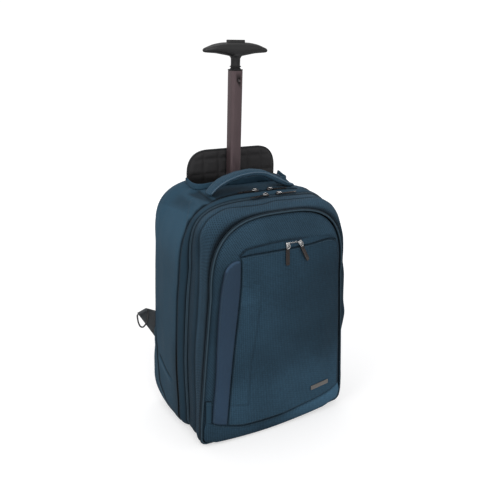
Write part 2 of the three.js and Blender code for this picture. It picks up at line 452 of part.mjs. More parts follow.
// ---------------------------------------------------------------- tabs and D-rings at the rear edges
for (const [side, s] of [['left', -1], ['right', 1]]) {
  const root = [[WING.xRoot, WING.yRoot + LEAN * WING.zHigh, WING.zHigh], [WING.xRoot, WING.yRoot + LEAN * WING.zLow, WING.zLow]];
  const tip = [WING.tipIn, WING.tipOut];
  const mid = (i, t) => root[i].map((v, k) => lerp(v, tip[i][k], t));
  const grid = (off) => Array.from({ length: 6 }, (_, i) => {
    const t = 0.06 + (0.94 * i) / 5, a = new THREE.Vector3(...mid(0, t)), b = new THREE.Vector3(...mid(1, t));
    const along = new THREE.Vector3(...mid(0, Math.min(1, t + 0.05))).sub(new THREE.Vector3(...mid(0, t - 0.05)));
    const n = new THREE.Vector3().crossVectors(b.clone().sub(a), along).normalize();
    return [a.addScaledVector(n, off), b.addScaledVector(n, off)].map((v) => [s * v.x, v.y, v.z]);
  });
  add(`wing_${side}`, plate(grid(WING.t / 2), grid(-WING.t / 2)), BLACK);

  // ring: straight bar through the tab's end, bow hanging below it
  const a = new THREE.Vector3(...WING.tipOut), b = new THREE.Vector3(...WING.tipIn), bar = b.clone().sub(a).normalize();
  const c = a.clone().add(b).multiplyScalar(0.5).add(new THREE.Vector3(0, -D_RING.ahead, -1.5));
  const down = new THREE.Vector3(0, 0, -1), n = new THREE.Vector3().crossVectors(bar, down).normalize();
  const loop = [];
  const hw = D_RING.wide / 2, steps = 10;
  loop.push([-hw, 0], [hw, 0]);
  for (let i = 1; i < steps; i++) { const t = (Math.PI * i) / steps; loop.push([hw * Math.cos(t), 3 + D_RING.tall * Math.sin(t)]); }
  const rings = loop.map(([u, v], i) => {
    const p = loop[(i + loop.length - 1) % loop.length], q = loop[(i + 1) % loop.length];
    const run = new THREE.Vector3().addScaledVector(bar, q[0] - p[0]).addScaledVector(down, q[1] - p[1]).normalize();
    const out = new THREE.Vector3().crossVectors(run, n);
    return Array.from({ length: 6 }, (_, k) => {
      const w = (2 * Math.PI * k) / 6, pt = c.clone().addScaledVector(bar, u).addScaledVector(down, v).addScaledVector(out, (D_RING.wire / 2) * Math.cos(w)).addScaledVector(n, (D_RING.wire / 2) * Math.sin(w));
      return [s * pt.x, pt.y, pt.z];
    });
  });
  add(`d_ring_${side}`, loft(rings, { loop: true }), METAL);
}

// ---------------------------------------------------------------- wheels, housings, feet
for (const [side, s] of [['left', -1], ['right', 1]]) {
  const cx = s * WHEEL.x, y = WHEEL.y, z = WHEEL.r, hw = HOUSING.wide / 2;
  const back = 96, blank = cut(box(cx - hw, cx + hw, HOUSING.y0, back, 7, HOUSING.zTop), cutCorner(cx, back));
  const cavity = [cylinderX(HOUSING.cavityR, cx - hw + HOUSING.wall, cx + hw - HOUSING.wall, y, z), box(cx - hw + HOUSING.wall, cx + hw - HOUSING.wall, y, back + 10, z - HOUSING.cavityR - 5, z + HOUSING.cavityR - 14)];
  const open = box(cx - hw + HOUSING.wall, cx + hw - HOUSING.wall, y - HOUSING.cavityR + 4, y + HOUSING.cavityR, -5, z - 8);
  add(`housing_${side}`, cut(blank, ...cavity, open, cylinderX(AXLE_R + GAP, cx - hw - 2, cx + hw + 2, y, z, 12)), PLASTIC);
  add(`axle_${side}`, cylinderX(AXLE_R, cx - hw + 0.4, cx + hw - 0.4, y, z, 12), METAL);
  const hwW = WHEEL.wide / 2;
  const turn = (profile, n) => new THREE.LatheGeometry(profile.map(([r, a]) => new THREE.Vector2(r, a)), n).rotateZ(-Math.PI / 2).translate(cx, y, z);
  add(`tyre_${side}`, closed(turn([[WHEEL.rimR + GAP, -hwW], [WHEEL.r - 3, -hwW], [WHEEL.r, -hwW + 5], [WHEEL.r, hwW - 5], [WHEEL.r - 3, hwW], [WHEEL.rimR + GAP, hwW], [WHEEL.rimR + GAP, -hwW]], 28)), RUBBER);
  add(`hub_${side}`, closed(turn([[WHEEL.boreR, -hwW - 1], [9, -hwW - 1], [10, -hwW + 3], [WHEEL.rimR - 4, -hwW + 3], [WHEEL.rimR, -hwW + 1], [WHEEL.rimR, hwW - 1], [WHEEL.rimR - 4, hwW - 3], [10, hwW - 3], [9, hwW + 1], [WHEEL.boreR, hwW + 1], [WHEEL.boreR, -hwW - 1]], 20)), PLASTIC);
  add(`foot_${side}`, box(s * FOOT.x - FOOT.wide / 2, s * FOOT.x + FOOT.wide / 2, FOOT.y - FOOT.deep / 2, FOOT.y + FOOT.deep / 2, 0, FOOT.h - GAP), PLASTIC);
}
function closed(g) { return unsolid(solid(g)); }
// the housing's lower rear corner follows the bag's rounded corner
function cutCorner(cx, back) {
  const hw = HOUSING.wide / 2 + 2;
  const wedge = [[back - 30, -2], [back + 2, -2], [back + 2, 34], [back - 7, 22]];
  return loft([cx - hw, cx + hw].map((x) => wedge.map(([y, z]) => [x, y, z])));
}

export default bag;
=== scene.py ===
# Wheeled backpack: the visible surfaces, materials, light and camera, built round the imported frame.
# Lengths in the tables are millimetres in the bag's own frame; to_world() turns them into metres.
import math

import bpy
import numpy as np
from mathutils import Matrix, Vector, geometry


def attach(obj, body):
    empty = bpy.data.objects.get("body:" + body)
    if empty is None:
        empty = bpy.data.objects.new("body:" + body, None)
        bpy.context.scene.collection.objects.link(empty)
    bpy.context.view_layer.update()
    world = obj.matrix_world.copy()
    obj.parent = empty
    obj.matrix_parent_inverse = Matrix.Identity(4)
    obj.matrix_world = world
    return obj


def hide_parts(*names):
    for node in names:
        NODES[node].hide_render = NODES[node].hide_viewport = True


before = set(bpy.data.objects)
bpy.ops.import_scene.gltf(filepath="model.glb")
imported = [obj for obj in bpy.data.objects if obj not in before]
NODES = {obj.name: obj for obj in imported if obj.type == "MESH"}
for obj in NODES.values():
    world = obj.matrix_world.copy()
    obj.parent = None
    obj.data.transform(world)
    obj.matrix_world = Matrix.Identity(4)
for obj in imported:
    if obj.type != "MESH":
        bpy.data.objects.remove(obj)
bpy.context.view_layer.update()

# ------------------------------------------------------------------ tables shared with the frame
Y_SHIFT, LEAN, WALL, GAP = 20.87, -0.017, 3.0, 0.35
COLUMNS = ("y0", "zBot", "r", "foot", "belly", "chest", "zSh", "shoulder", "zTop", "square")
SECTIONS = np.array([
    (-120, 5, 15, 166, 159, 149.5, 303, 146.7, 447, 2.94),
    (-91, 6, 24, 161, 162.5, 157, 350, 153, 456, 4.4),
    (-61, 6, 25, 162.5, 166, 161.5, 347, 155.5, 460, 3.8),
    (-41, 6, 25, 171.5, 175, 172, 307, 169.5, 467, 3.33),
    (20, 6, 26, 171, 172.5, 169.5, 325, 167, 473, 3.25),
    (48, 7, 27, 170, 170, 167, 345, 164, 476.5, 3.2),
    (68, 16, 28, 169.5, 168.5, 165.5, 355, 162.6, 479, 3.6),
    (81, 31, 30, 169, 167.5, 164.5, 360, 161.8, 479.5, 3.6),
    (87, 46, 32, 168, 166.5, 163.5, 360, 161, 478.5, 3.6),
], float)
Y_FRONT, Y_ZIP_B, Y_ZIP_A, Y_BACK, ZIP_W, PIPING_D, BULGE, LIFT = -120, -61, -41, 87, 8, 5, 11, 1.4
KICK_SEAM = [(-158, 58), (-125, 42), (-69, 29), (-7, 28), (58, 34), (125, 43), (158, 56)]
STRIP = [(38, -144, -113), (80, -141.5, -109.8), (150, -136.5, -105), (216, -134.5, -99.5), (280, -130.5, -92.5), (330, -124.5, -88.6), (362, -112, -88.2)]
POCKET_TOP = [(-95, 374), (-60, 376), (0, 376), (58, 377.5), (105, 381), (124, 374)]
POCKET_RIGHT = [(45, 152), (150, 147), (270, 139), (330, 134), (374, 124)]
POLE_X, POLE_Y45, POLE_LEAN = -2, 48.7, -0.032
WELL = (-96.5, 108.5, 16, 76.4)
WHEEL_X, WHEEL_Y, WHEEL_R, WHEEL_W = 118, 68, 33, 24


def to_world(p):
    return (np.asarray(p, float) + [0, Y_SHIFT, 0]) * 0.001


def curve(x, y, v):
    """Monotone cubic through (x, y) at v."""
    x, y, v = np.asarray(x, float), np.asarray(y, float), np.asarray(v, float)
    h = np.diff(x)
    d = np.diff(y) / h
    m = np.empty(len(x))
    m[0], m[-1] = d[0], d[-1]
    for i in range(1, len(x) - 1):
        m[i] = 0 if d[i - 1] * d[i] <= 0 else 2 * d[i - 1] * d[i] / (d[i - 1] + d[i])
    v = np.clip(v, x[0], x[-1])
    i = np.clip(np.searchsorted(x, v, side="right") - 1, 0, len(x) - 2)
    t = (v - x[i]) / h[i]
    t2, t3 = t * t, t * t * t
    return (2 * t3 - 3 * t2 + 1) * y[i] + (t3 - 2 * t2 + t) * h[i] * m[i] + (3 * t2 - 2 * t3) * y[i + 1] + (t3 - t2) * h[i] * m[i + 1]


def table(rows, k, c):
    rows = np.asarray(rows, float)
    return lambda v: curve(rows[:, k], rows[:, c], v)


def section(y0):
    return {c: float(curve(SECTIONS[:, 0], SECTIONS[:, i], y0)) for i, c in enumerate(COLUMNS)} | {"y0": y0}


def half_width(s, z):
    return curve([50, 150, 270, s["zSh"]], [s["foot"], s["belly"], s["chest"], s["shoulder"]], z)


def super_rho(a, n):
    return (np.abs(np.cos(a)) ** n + np.abs(np.sin(a)) ** n) ** (-1 / n)


def even_angles(count, n=3.4, w=166, h=140):
    a = np.linspace(0, math.pi / 2, 2001)
    rho = super_rho(a, n)
    x, z = w * rho * np.cos(a), h * rho * np.sin(a)
    s = np.concatenate([[0], np.cumsum(np.hypot(np.diff(x), np.diff(z)))])
    return np.interp(np.linspace(0, s[-1], count + 1), s, a)


class Steps:
    """How finely the outline is divided."""

    def __init__(self, flat, corner, side, arch):
        self.flat, self.corner, self.side = (np.arange(n) / n for n in (flat, corner, side))
        self.arch = even_angles(arch)


FINE = Steps(44, 14, 132, 84)
MEDIUM = Steps(30, 8, 60, 64)


def half_outline(s, inset, st):
    zb, r = s["zBot"] + inset, max(3, s["r"] - inset)
    sag = float(curve([-120, -106, -96, 90], [3.6, 1.4, 0, 0], s["y0"]))
    wc = half_width(s, zb + r) - inset
    a = st.corner * math.pi / 2
    z = zb + r + (s["zSh"] - zb - r) * st.side
    w, h = s["shoulder"] - inset, s["zTop"] - inset - s["zSh"]
    rho = super_rho(st.arch, s["square"])
    x = np.concatenate([(wc - r) * st.flat, wc - r + r * np.sin(a), half_width(s, z) - inset, w * rho * np.cos(st.arch)])
    z = np.concatenate([zb - sag * (1 - st.flat ** 2), zb + r - r * np.cos(a), z, s["zSh"] + h * rho * np.sin(st.arch)])
    x[-1] = 0
    return np.stack([x, z], -1)


def outline(y0, inset=0.0, st=FINE):
    half = half_outline(section(y0), inset, st)
    return np.concatenate([half, half[1:-1][::-1] * [-1, 1]])


def shift_a(z):
    """The first zip wanders forwards by this much below the shoulder."""
    return curve([0, 290, 345, 405, 432, 480], [1.0, 1.0, -5.0, -6.5, -3, -1], z)


def rings(y0s, inset=0.0, st=FINE):
    """(depths, columns, 3): the body's outlines at several depths."""
    out = []
    ins = np.broadcast_to(inset, (len(y0s),))
    for y0, i in zip(y0s, ins):
        o = outline(y0, i, st)
        y = y0 + shift_a(o[:, 1]) * np.exp(-(((y0 + 40) / 16.0) ** 2)) + LEAN * o[:, 1]
        out.append(np.stack([o[:, 0], y, o[:, 1]], -1))
    return np.array(out)


def side_width(y0, z):
    s = section(y0)
    if z <= s["zSh"]:
        return float(half_width(s, z))
    t = min(1, (z - s["zSh"]) / (s["zTop"] - s["zSh"]))
    return s["shoulder"] * (1 - t ** s["square"]) ** (1 / s["square"])


def top_z(y0, x):
    s = section(y0)
    u = min(1, abs(x) / s["shoulder"])
    return s["zSh"] + (s["zTop"] - s["zSh"]) * (1 - u ** s["square"]) ** (1 / s["square"])


def on_side(y0, z, sign=-1):
    return (sign * side_width(y0, z), y0 + LEAN * z, z)


def on_top(y0, x):
    z = top_z(y0, x)
    return (x, y0 + LEAN * z, z)


# ------------------------------------------------------------------ small numeric tools
def gauss(d, w):
    return np.exp(-((d / w) ** 2))


def smooth(a, b, v):
    t = np.clip((v - a) / (b - a), 0, 1)
    return t * t * (3 - 2 * t)


def lip(e, r):
    """How far an edge of radius r has fallen at a distance e from it."""
    q = np.clip(r - e, 0, r)
    return -(r - np.sqrt(np.maximum(r * r - q * q, 0)))


def _hash(i, j, k, seed):
    n = (i * 374761393 + j * 668265263 + k * 2147483647 + seed * 974634777) & 0xFFFFFFFF
    n = ((n ^ (n >> 13)) * 1274126177) & 0xFFFFFFFF
    return ((n ^ (n >> 16)) & 0xFFFF) / 32767.5 - 1


def noise(p, size, seed=1):
    """Smooth noise from -1 to 1; size is one length or three, in mm."""
    q = np.asarray(p, float) / size
    i = np.floor(q).astype(np.int64)
    f = q - i
    f = f * f * f * (f * (f * 6 - 15) + 10)
    out = 0
    for a in (0, 1):
        for b in (0, 1):
            for c in (0, 1):
                w = (f[..., 0] if a else 1 - f[..., 0]) * (f[..., 1] if b else 1 - f[..., 1]) * (f[..., 2] if c else 1 - f[..., 2])
                out = out + w * _hash(i[..., 0] + a, i[..., 1] + b, i[..., 2] + c, seed)
    return out


def line_distance(p, line):
    """Distance of points to a polyline, and the share of the way along it."""
    p, line = np.asarray(p, float), np.asarray(line, float)
    best, share = np.full(p.shape[:-1], 1e9), np.zeros(p.shape[:-1])
    n = len(line) - 1
    for i in range(n):
        a, ab = line[i], line[i + 1] - line[i]
        t = np.clip(((p - a) @ ab) / max(ab @ ab, 1e-9), 0, 1)
        d = np.linalg.norm(p - a - t[..., None] * ab, axis=-1)
        near = d < best
        best, share = np.where(near, d, best), np.where(near, (i + t) / n, share)
    return best, share


def smooth_line(points, step=4.0, closed=False):
    """Catmull-Rom through points, resampled evenly."""
    p = np.asarray(points, float)
    p = np.concatenate([p[-1:], p, p[:2]]) if closed else np.concatenate([2 * p[:1] - p[1:2], p, 2 * p[-1:] - p[-2:-1]])
    out = []
    for i in range(1, len(p) - 2):
        t = np.linspace(0, 1, 16, endpoint=False)[:, None]
        a, b, c, d = p[i - 1], p[i], p[i + 1], p[i + 2]
        out.append(0.5 * (2 * b + (c - a) * t + (2 * a - 5 * b + 4 * c - d) * t ** 2 + (3 * b - a - 3 * c + d) * t ** 3))
    out = np.concatenate(out + ([] if closed else [p[-2][None]]))
    if closed:
        out = np.concatenate([out, out[:1]])
    s = np.concatenate([[0], np.cumsum(np.linalg.norm(np.diff(out, axis=0), axis=1))])
    n = max(2, int(round(s[-1] / step)))
    at = np.linspace(0, s[-1], n + 1)
    out = np.stack([np.interp(at, s, out[:, k]) for k in range(out.shape[1])], -1)
    return out[:-1] if closed else out


def unit(v):
    return v / np.maximum(np.linalg.norm(v, axis=-1, keepdims=True), 1e-12)


def grid_normals(P, wrap):
    du = (np.roll(P, -1, 1) - np.roll(P, 1, 1)) if wrap else np.gradient(P, axis=1)
    dv = np.gradient(P, axis=0)
    return unit(np.cross(du, dv))


# ------------------------------------------------------------------ mesh building
def new_object(name, V, quads=(), tris=(), uv=None, tone=None, smooth_shade=True):
    """Object from points in mm; uv is per corner (quads first), tone is per point."""
    V = to_world(V)
    q, t = np.asarray(quads, np.int64).reshape(-1, 4), np.asarray(tris, np.int64).reshape(-1, 3)
    corners = np.concatenate([q.ravel(), t.ravel()]).astype(np.int32)
    sizes = np.concatenate([np.full(len(q), 4), np.full(len(t), 3)])
    starts = np.concatenate([[0], np.cumsum(sizes)[:-1]]).astype(np.int32)
    me = bpy.data.meshes.new(name)
    me.vertices.add(len(V))
    me.vertices.foreach_set("co", V.astype(np.float32).ravel())
    me.loops.add(len(corners))
    me.loops.foreach_set("vertex_index", corners)
    me.polygons.add(len(sizes))
    me.polygons.foreach_set("loop_start", starts)
    me.update(calc_edges=True)
    if uv is not None:
        layer = me.uv_layers.new(name="weave")
        layer.data.foreach_set("uv", np.asarray(uv, np.float32).ravel())
    a = me.attributes.new("tone", "FLOAT", "POINT")
    a.data.foreach_set("value", np.broadcast_to(np.asarray(1.0 if tone is None else tone, np.float32), (len(V),)).copy())
    if smooth_shade:
        me.polygons.foreach_set("use_smooth", np.ones(len(sizes), bool))
    me.validate()
    o = bpy.data.objects.new(name, me)
    bpy.context.scene.collection.objects.link(o)
    return o


def outward(o):
    """Turns a closed mesh's faces outwards."""
    import bmesh
    bm = bmesh.new()
    bm.from_mesh(o.data)
    bmesh.ops.recalc_face_normals(bm, faces=bm.faces)
    bm.to_mesh(o.data)
    bm.free()
    return o


PIECES = []


def piece(o, material, body="bag", replaces=(), sharp=None):
    o.data.materials.clear()
    o.data.materials.append(material)
    if sharp is not None:
        with bpy.context.temp_override(object=o, active_object=o, selected_objects=[o], selected_editable_objects=[o]):
            bpy.ops.object.shade_smooth_by_angle(angle=math.radians(sharp))
    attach(o, body)
    if replaces:
        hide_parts(*replaces)
    PIECES.append(o)
    return o


def apply_modifiers(o):
    dg = bpy.context.evaluated_depsgraph_get()
    me = bpy.data.meshes.new_from_object(o.evaluated_get(dg), preserve_all_data_layers=True, depsgraph=dg)
    o.modifiers.clear()
    old = o.data
    o.data = me
    bpy.data.meshes.remove(old)
    return o


def join(objects, name):
    """One object from several."""
    first = objects[0]
    with bpy.context.temp_override(object=first, active_object=first, selected_objects=objects, selected_editable_objects=objects):
        bpy.ops.object.join()
    first.name = first.data.name = name
    return first


def loft_grid(R, wrap_rows, caps=True):
    """Quads and triangles for rings (n, m, 3) closed round m; rows closed on themselves or capped."""
    n, m = R.shape[:2]
    i, j = np.meshgrid(np.arange(n if wrap_rows else n - 1), np.arange(m), indexing="ij")
    i, j = i.ravel(), j.ravel()
    i1, j1 = (i + 1) % n, (j + 1) % m
    quads = np.stack([i * m + j, i * m + j1, i1 * m + j1, i1 * m + j], -1)
    tris, extra = [], []
    if not wrap_rows and caps:
        for row, flip in ((0, True), (n - 1, False)):
            mid = n * m + len(extra)
            extra.append(R[row].mean(0))
            a, b = row * m + np.arange(m), row * m + (np.arange(m) + 1) % m
            tris.append(np.stack([np.full(m, mid), b, a] if flip else [np.full(m, mid), a, b], -1))
    V = np.concatenate([R.reshape(-1, 3)] + ([np.array(extra)] if extra else []))
    return V, quads, (np.concatenate(tris) if tris else np.zeros((0, 3), int))


def loft(name, R, wrap_rows=False, u=None, v=None, tone=None):
    """Closed body from rings. u (m+1) and v (n or n+1) are texture coordinates in mm."""
    n, m = R.shape[:2]
    V, quads, tris = loft_grid(R, wrap_rows)
    if u is None:
        seg = np.linalg.norm(np.roll(R[n // 2], -1, 0) - R[n // 2], axis=1)
        u = np.concatenate([[0], np.cumsum(seg)])
    if v is None:
        seg = np.linalg.norm(np.roll(R, -1, 0) - R, axis=2).mean(1)
        v = np.concatenate([[0], np.cumsum(seg)])
    i, j = np.meshgrid(np.arange(n if wrap_rows else n - 1), np.arange(m), indexing="ij")
    i, j = i.ravel(), j.ravel()
    uq = np.stack([np.stack([u[j], u[j + 1], u[j + 1], u[j]], -1), np.stack([v[i], v[i], v[i + 1], v[i + 1]], -1)], -1).reshape(-1, 2)
    ut = V[tris.ravel()][:, [0, 2]] if len(tris) else np.zeros((0, 2))
    if tone is not None:
        tone = np.concatenate([np.asarray(tone).ravel(), np.ones(len(V) - n * m)])
    return outward(new_object(name, V, quads, tris, np.concatenate([uq, ut]) * 0.001, tone))


def rows_between(a, b, step, edge=2.6, fine=(0, 0.15, 0.45, 0.95, 1.7, 2.6)):
    """Depths from a to b, finer at both ends."""
    fine = np.array(fine) * edge / fine[-1]
    n = max(1, int(round((b - a - 2 * edge) / step)))
    return np.concatenate([a + fine, np.linspace(a + edge, b - edge, n + 1)[1:-1], (b - fine)[::-1]])


def band(name, y0s, disp, wall=WALL, st=FINE, inner_rows=4, tone=None):
    """Closed fabric band round the bag. disp(P, Y0) gives how far the outside stands proud."""
    P = rings(y0s, 0, st)
    N = grid_normals(P, True)
    if (N[len(y0s) // 2, :, 0] * P[len(y0s) // 2, :, 0]).sum() < 0:
        N = -N
    Y0 = np.broadcast_to(np.asarray(y0s)[:, None], P.shape[:2])
    outer = P + N * disp(P, Y0)[..., None]
    outer[..., 2] = np.maximum(outer[..., 2], 0.8)
    inner_y = np.linspace(y0s[0], y0s[-1], inner_rows)
    inner = rings(inner_y, wall, st)[::-1]
    R = np.concatenate([outer, inner])
    t = None
    if tone is not None:
        t = np.concatenate([tone(P, Y0), np.full(inner.shape[:2], 0.6)])
    v = np.concatenate([y0s, y0s[-1] + 3 + np.arange(inner_rows) * 10, [y0s[-1] + 60]])
    return loft(name, R, True, v=v, tone=t), P, N, outer


def polygon_points(poly, spacing):
    """Points of a hexagonal grid inside a polygon."""
    poly = np.asarray(poly)
    lo, hi = poly.min(0), poly.max(0)
    rows = int((hi[1] - lo[1]) / (spacing * 0.866)) + 1
    pts = []
    for i in range(rows + 1):
        y = lo[1] + i * spacing * 0.866
        x = np.arange(lo[0] + (0.5 * spacing if i % 2 else 0), hi[0], spacing)
        pts.append(np.stack([x, np.full(len(x), y)], -1))
    pts = np.concatenate(pts)
    inside = np.zeros(len(pts), bool)
    a, b = poly, np.roll(poly, -1, 0)
    for (x0, y0), (x1, y1) in zip(a, b):
        if y0 != y1:
            inside ^= ((y0 > pts[:, 1]) != (y1 > pts[:, 1])) & (pts[:, 0] < (x1 - x0) * (pts[:, 1] - y0) / (y1 - y0) + x0)
    return pts[inside]


def edge_distance(p, poly):
    a = np.asarray(poly)
    b = np.roll(a, -1, 0)
    best = np.full(len(p), 1e9)
    for k in range(len(a)):
        ab = b[k] - a[k]
        t = np.clip(((p - a[k]) @ ab) / max(ab @ ab, 1e-9), 0, 1)
        best = np.minimum(best, np.linalg.norm(p - a[k] - t[:, None] * ab, axis=1))
    return best


def triangulate(poly, inner):
    n = len(poly)
    pts = [Vector(p) for p in np.concatenate([poly, inner])] if len(inner) else [Vector(p) for p in poly]
    edges = [(i, (i + 1) % n) for i in range(n)]
    v, _, f, _, _, _ = geometry.delaunay_2d_cdt(pts, edges, [], 1, 1e-5)
    v = np.array([tuple(x) for x in v])
    if len(v) != len(pts):
        raise RuntimeError(f"the outline crosses itself: {len(pts)} points became {len(v)}")
    return v, np.array(f)


def round_corners(points, radii, seg=6):
    """Polygon with its corners rounded."""
    p, out = [np.asarray(q, float) for q in points], []
    for k, r in enumerate(radii):
        a, b, c = p[k - 1], p[k], p[(k + 1) % len(p)]
        u, w = unit(a - b), unit(c - b)
        if r <= 0:
            out.append(b)
            continue
        ang = math.acos(np.clip(u @ w, -1, 1))
        d = min(r / math.tan(ang / 2), 0.49 * np.linalg.norm(a - b), 0.49 * np.linalg.norm(c - b))
        s, e = b + u * d, b + w * d
        for t in np.linspace(0, 1, seg + 1):
            out.append((1 - t) ** 2 * s + 2 * t * (1 - t) * b + t * t * e)
    return np.array(out)


def resample(poly, step):
    p = np.concatenate([poly, poly[:1]])
    s = np.concatenate([[0], np.cumsum(np.linalg.norm(np.diff(p, axis=0), axis=1))])
    n = max(8, int(round(s[-1] / step)))
    at = np.linspace(0, s[-1], n, endpoint=False)
    return np.stack([np.interp(at, s, p[:, k]) for k in (0, 1)], -1)


def plate(name, poly, spacing, top, bottom, coarse=16.0, tone=None, edge_loops=(0.3, 0.8, 1.6, 2.8)):
    """Closed sheet or pad over a flat outline. top(uv, d) and bottom(uv, d) place points; d is the distance to the edge."""
    poly = resample(np.asarray(poly, float), spacing * 0.9)
    area = 0.5 * np.sum(poly[:, 0] * np.roll(poly[:, 1], -1) - poly[:, 1] * np.roll(poly[:, 0], -1))
    if area < 0:
        poly = poly[::-1]
    tangent = unit(np.roll(poly, -1, 0) - np.roll(poly, 1, 0))
    inward = np.stack([-tangent[:, 1], tangent[:, 0]], -1)
    loops = []
    for off in edge_loops:
        q = poly + inward * off
        loops.append(q[edge_distance(q, poly) > off * 0.9])
    g = polygon_points(poly, spacing)
    g = g[edge_distance(g, poly) > (edge_loops[-1] + spacing * 0.45 if edge_loops else spacing * 0.5)]
    uv1, f1 = triangulate(poly, np.concatenate(loops + [g]))
    c = polygon_points(poly, coarse)
    c = c[edge_distance(c, poly) > coarse * 0.4] if len(c) else c
    uv2, f2 = triangulate(poly, c)
    d1, d2 = edge_distance(uv1, poly), edge_distance(uv2, poly)
    d1[: len(poly)] = 0
    d2[: len(poly)] = 0
    V1, V2 = top(uv1, d1), bottom(uv2, d2)
    n, k = len(poly), len(uv1)
    i = np.arange(n)
    j = (i + 1) % n
    walls = np.stack([i, j, k + j, k + i], -1)
    V = np.concatenate([V1, V2])
    tris = np.concatenate([f1, f2[:, ::-1] + k])
    U = np.concatenate([uv1, uv2])
    uvs = np.concatenate([U[walls.ravel()], U[tris.ravel()]]) * 0.001
    t = None if tone is None else np.concatenate([tone(uv1, d1), np.full(len(uv2), 0.7)])
    return outward(new_object(name, V, walls, tris, uvs, t))


def tube(name, path, radius, sides=10, closed=False, normal=None, flat=1.0):
    """Round cord along a path; flat squeezes it across normal."""
    p = np.asarray(path, float)
    if closed:
        t = unit(np.roll(p, -1, 0) - np.roll(p, 1, 0))
    else:
        t = unit(np.gradient(p, axis=0))
    if normal is None:
        ref = np.array([0.0, 0, 1]) if abs(t[:, 2]).mean() < 0.8 else np.array([0.0, 1, 0])
        normal = np.broadcast_to(ref, p.shape)
    normal = np.asarray(normal, float)
    n = unit(normal - (normal * t).sum(-1, keepdims=True) * t)
    b = np.cross(t, n)
    a = np.arange(sides) * 2 * math.pi / sides
    r = np.broadcast_to(radius, (len(p),))[:, None, None]
    R = p[:, None] + r * (n[:, None] * np.sin(a)[None, :, None] * flat + b[:, None] * np.cos(a)[None, :, None])
    return loft(name, R, closed)


def scatter(name, centres, along, across, up, shape, faces, tone=None):
    """Many copies of a small closed shape; shape is in (along, across, up) mm."""
    k, m = len(centres), len(shape)
    V = centres[:, None] + along[:, None] * shape[None, :, 0:1] + across[:, None] * shape[None, :, 1:2] + up[:, None] * shape[None, :, 2:3]
    F = np.asarray(faces)
    F = (F[None] + (np.arange(k) * m)[:, None, None]).reshape(-1, F.shape[1])
    uv = np.tile(np.array([[0, 0], [1, 0], [1, 1], [0, 1]][: F.shape[1]], float) * 0.001, (len(F), 1))
    quads, tris = (F, ()) if F.shape[1] == 4 else ((), F)
    return outward(new_object(name, V.reshape(-1, 3), quads, tris, uv, tone))


def capsule(length, width, height, sides=6):
    a = np.arange(sides) * 2 * math.pi / sides
    prof = [(-0.5, 0.35), (-0.28, 1), (0.28, 1), (0.5, 0.35)]
    V = np.concatenate([[[x * length, k * width / 2 * c, k * height / 2 * s] for c, s in zip(np.cos(a), np.sin(a))] for x, k in prof])
    F = []
    for i in range(3):
        for j in range(sides):
            F.append([i * sides + j, i * sides + (j + 1) % sides, (i + 1) * sides + (j + 1) % sides, (i + 1) * sides + j])
    tri = []
    for a_, b_, c_, d_ in F:
        tri += [[a_, b_, c_], [a_, c_, d_]]
    for j in range(1, sides - 1):
        tri += [[0, j + 1, j], [3 * sides, 3 * sides + j, 3 * sides + j + 1]]
    return V, tri


def stitches(name, runs, pitch=3.4, length=2.5, width=0.75):
    """Rows of thread; runs are (path, normal or function of the path) pairs."""
    C, T, N = [], [], []
    for path, normal in runs:
        p = smooth_line(path, pitch)
        t = unit(np.gradient(p, axis=0))
        n = normal(p) if callable(normal) else np.broadcast_to(np.asarray(normal, float), p.shape)
        n = unit(n - (n * t).sum(-1, keepdims=True) * t)
        C.append(p)
        T.append(t)
        N.append(n)
    C, T, N = np.concatenate(C), np.concatenate(T), np.concatenate(N)
    shape, faces = capsule(length, width, width * 0.8)
    return scatter(name, C, T, np.cross(N, T), N, shape, faces)


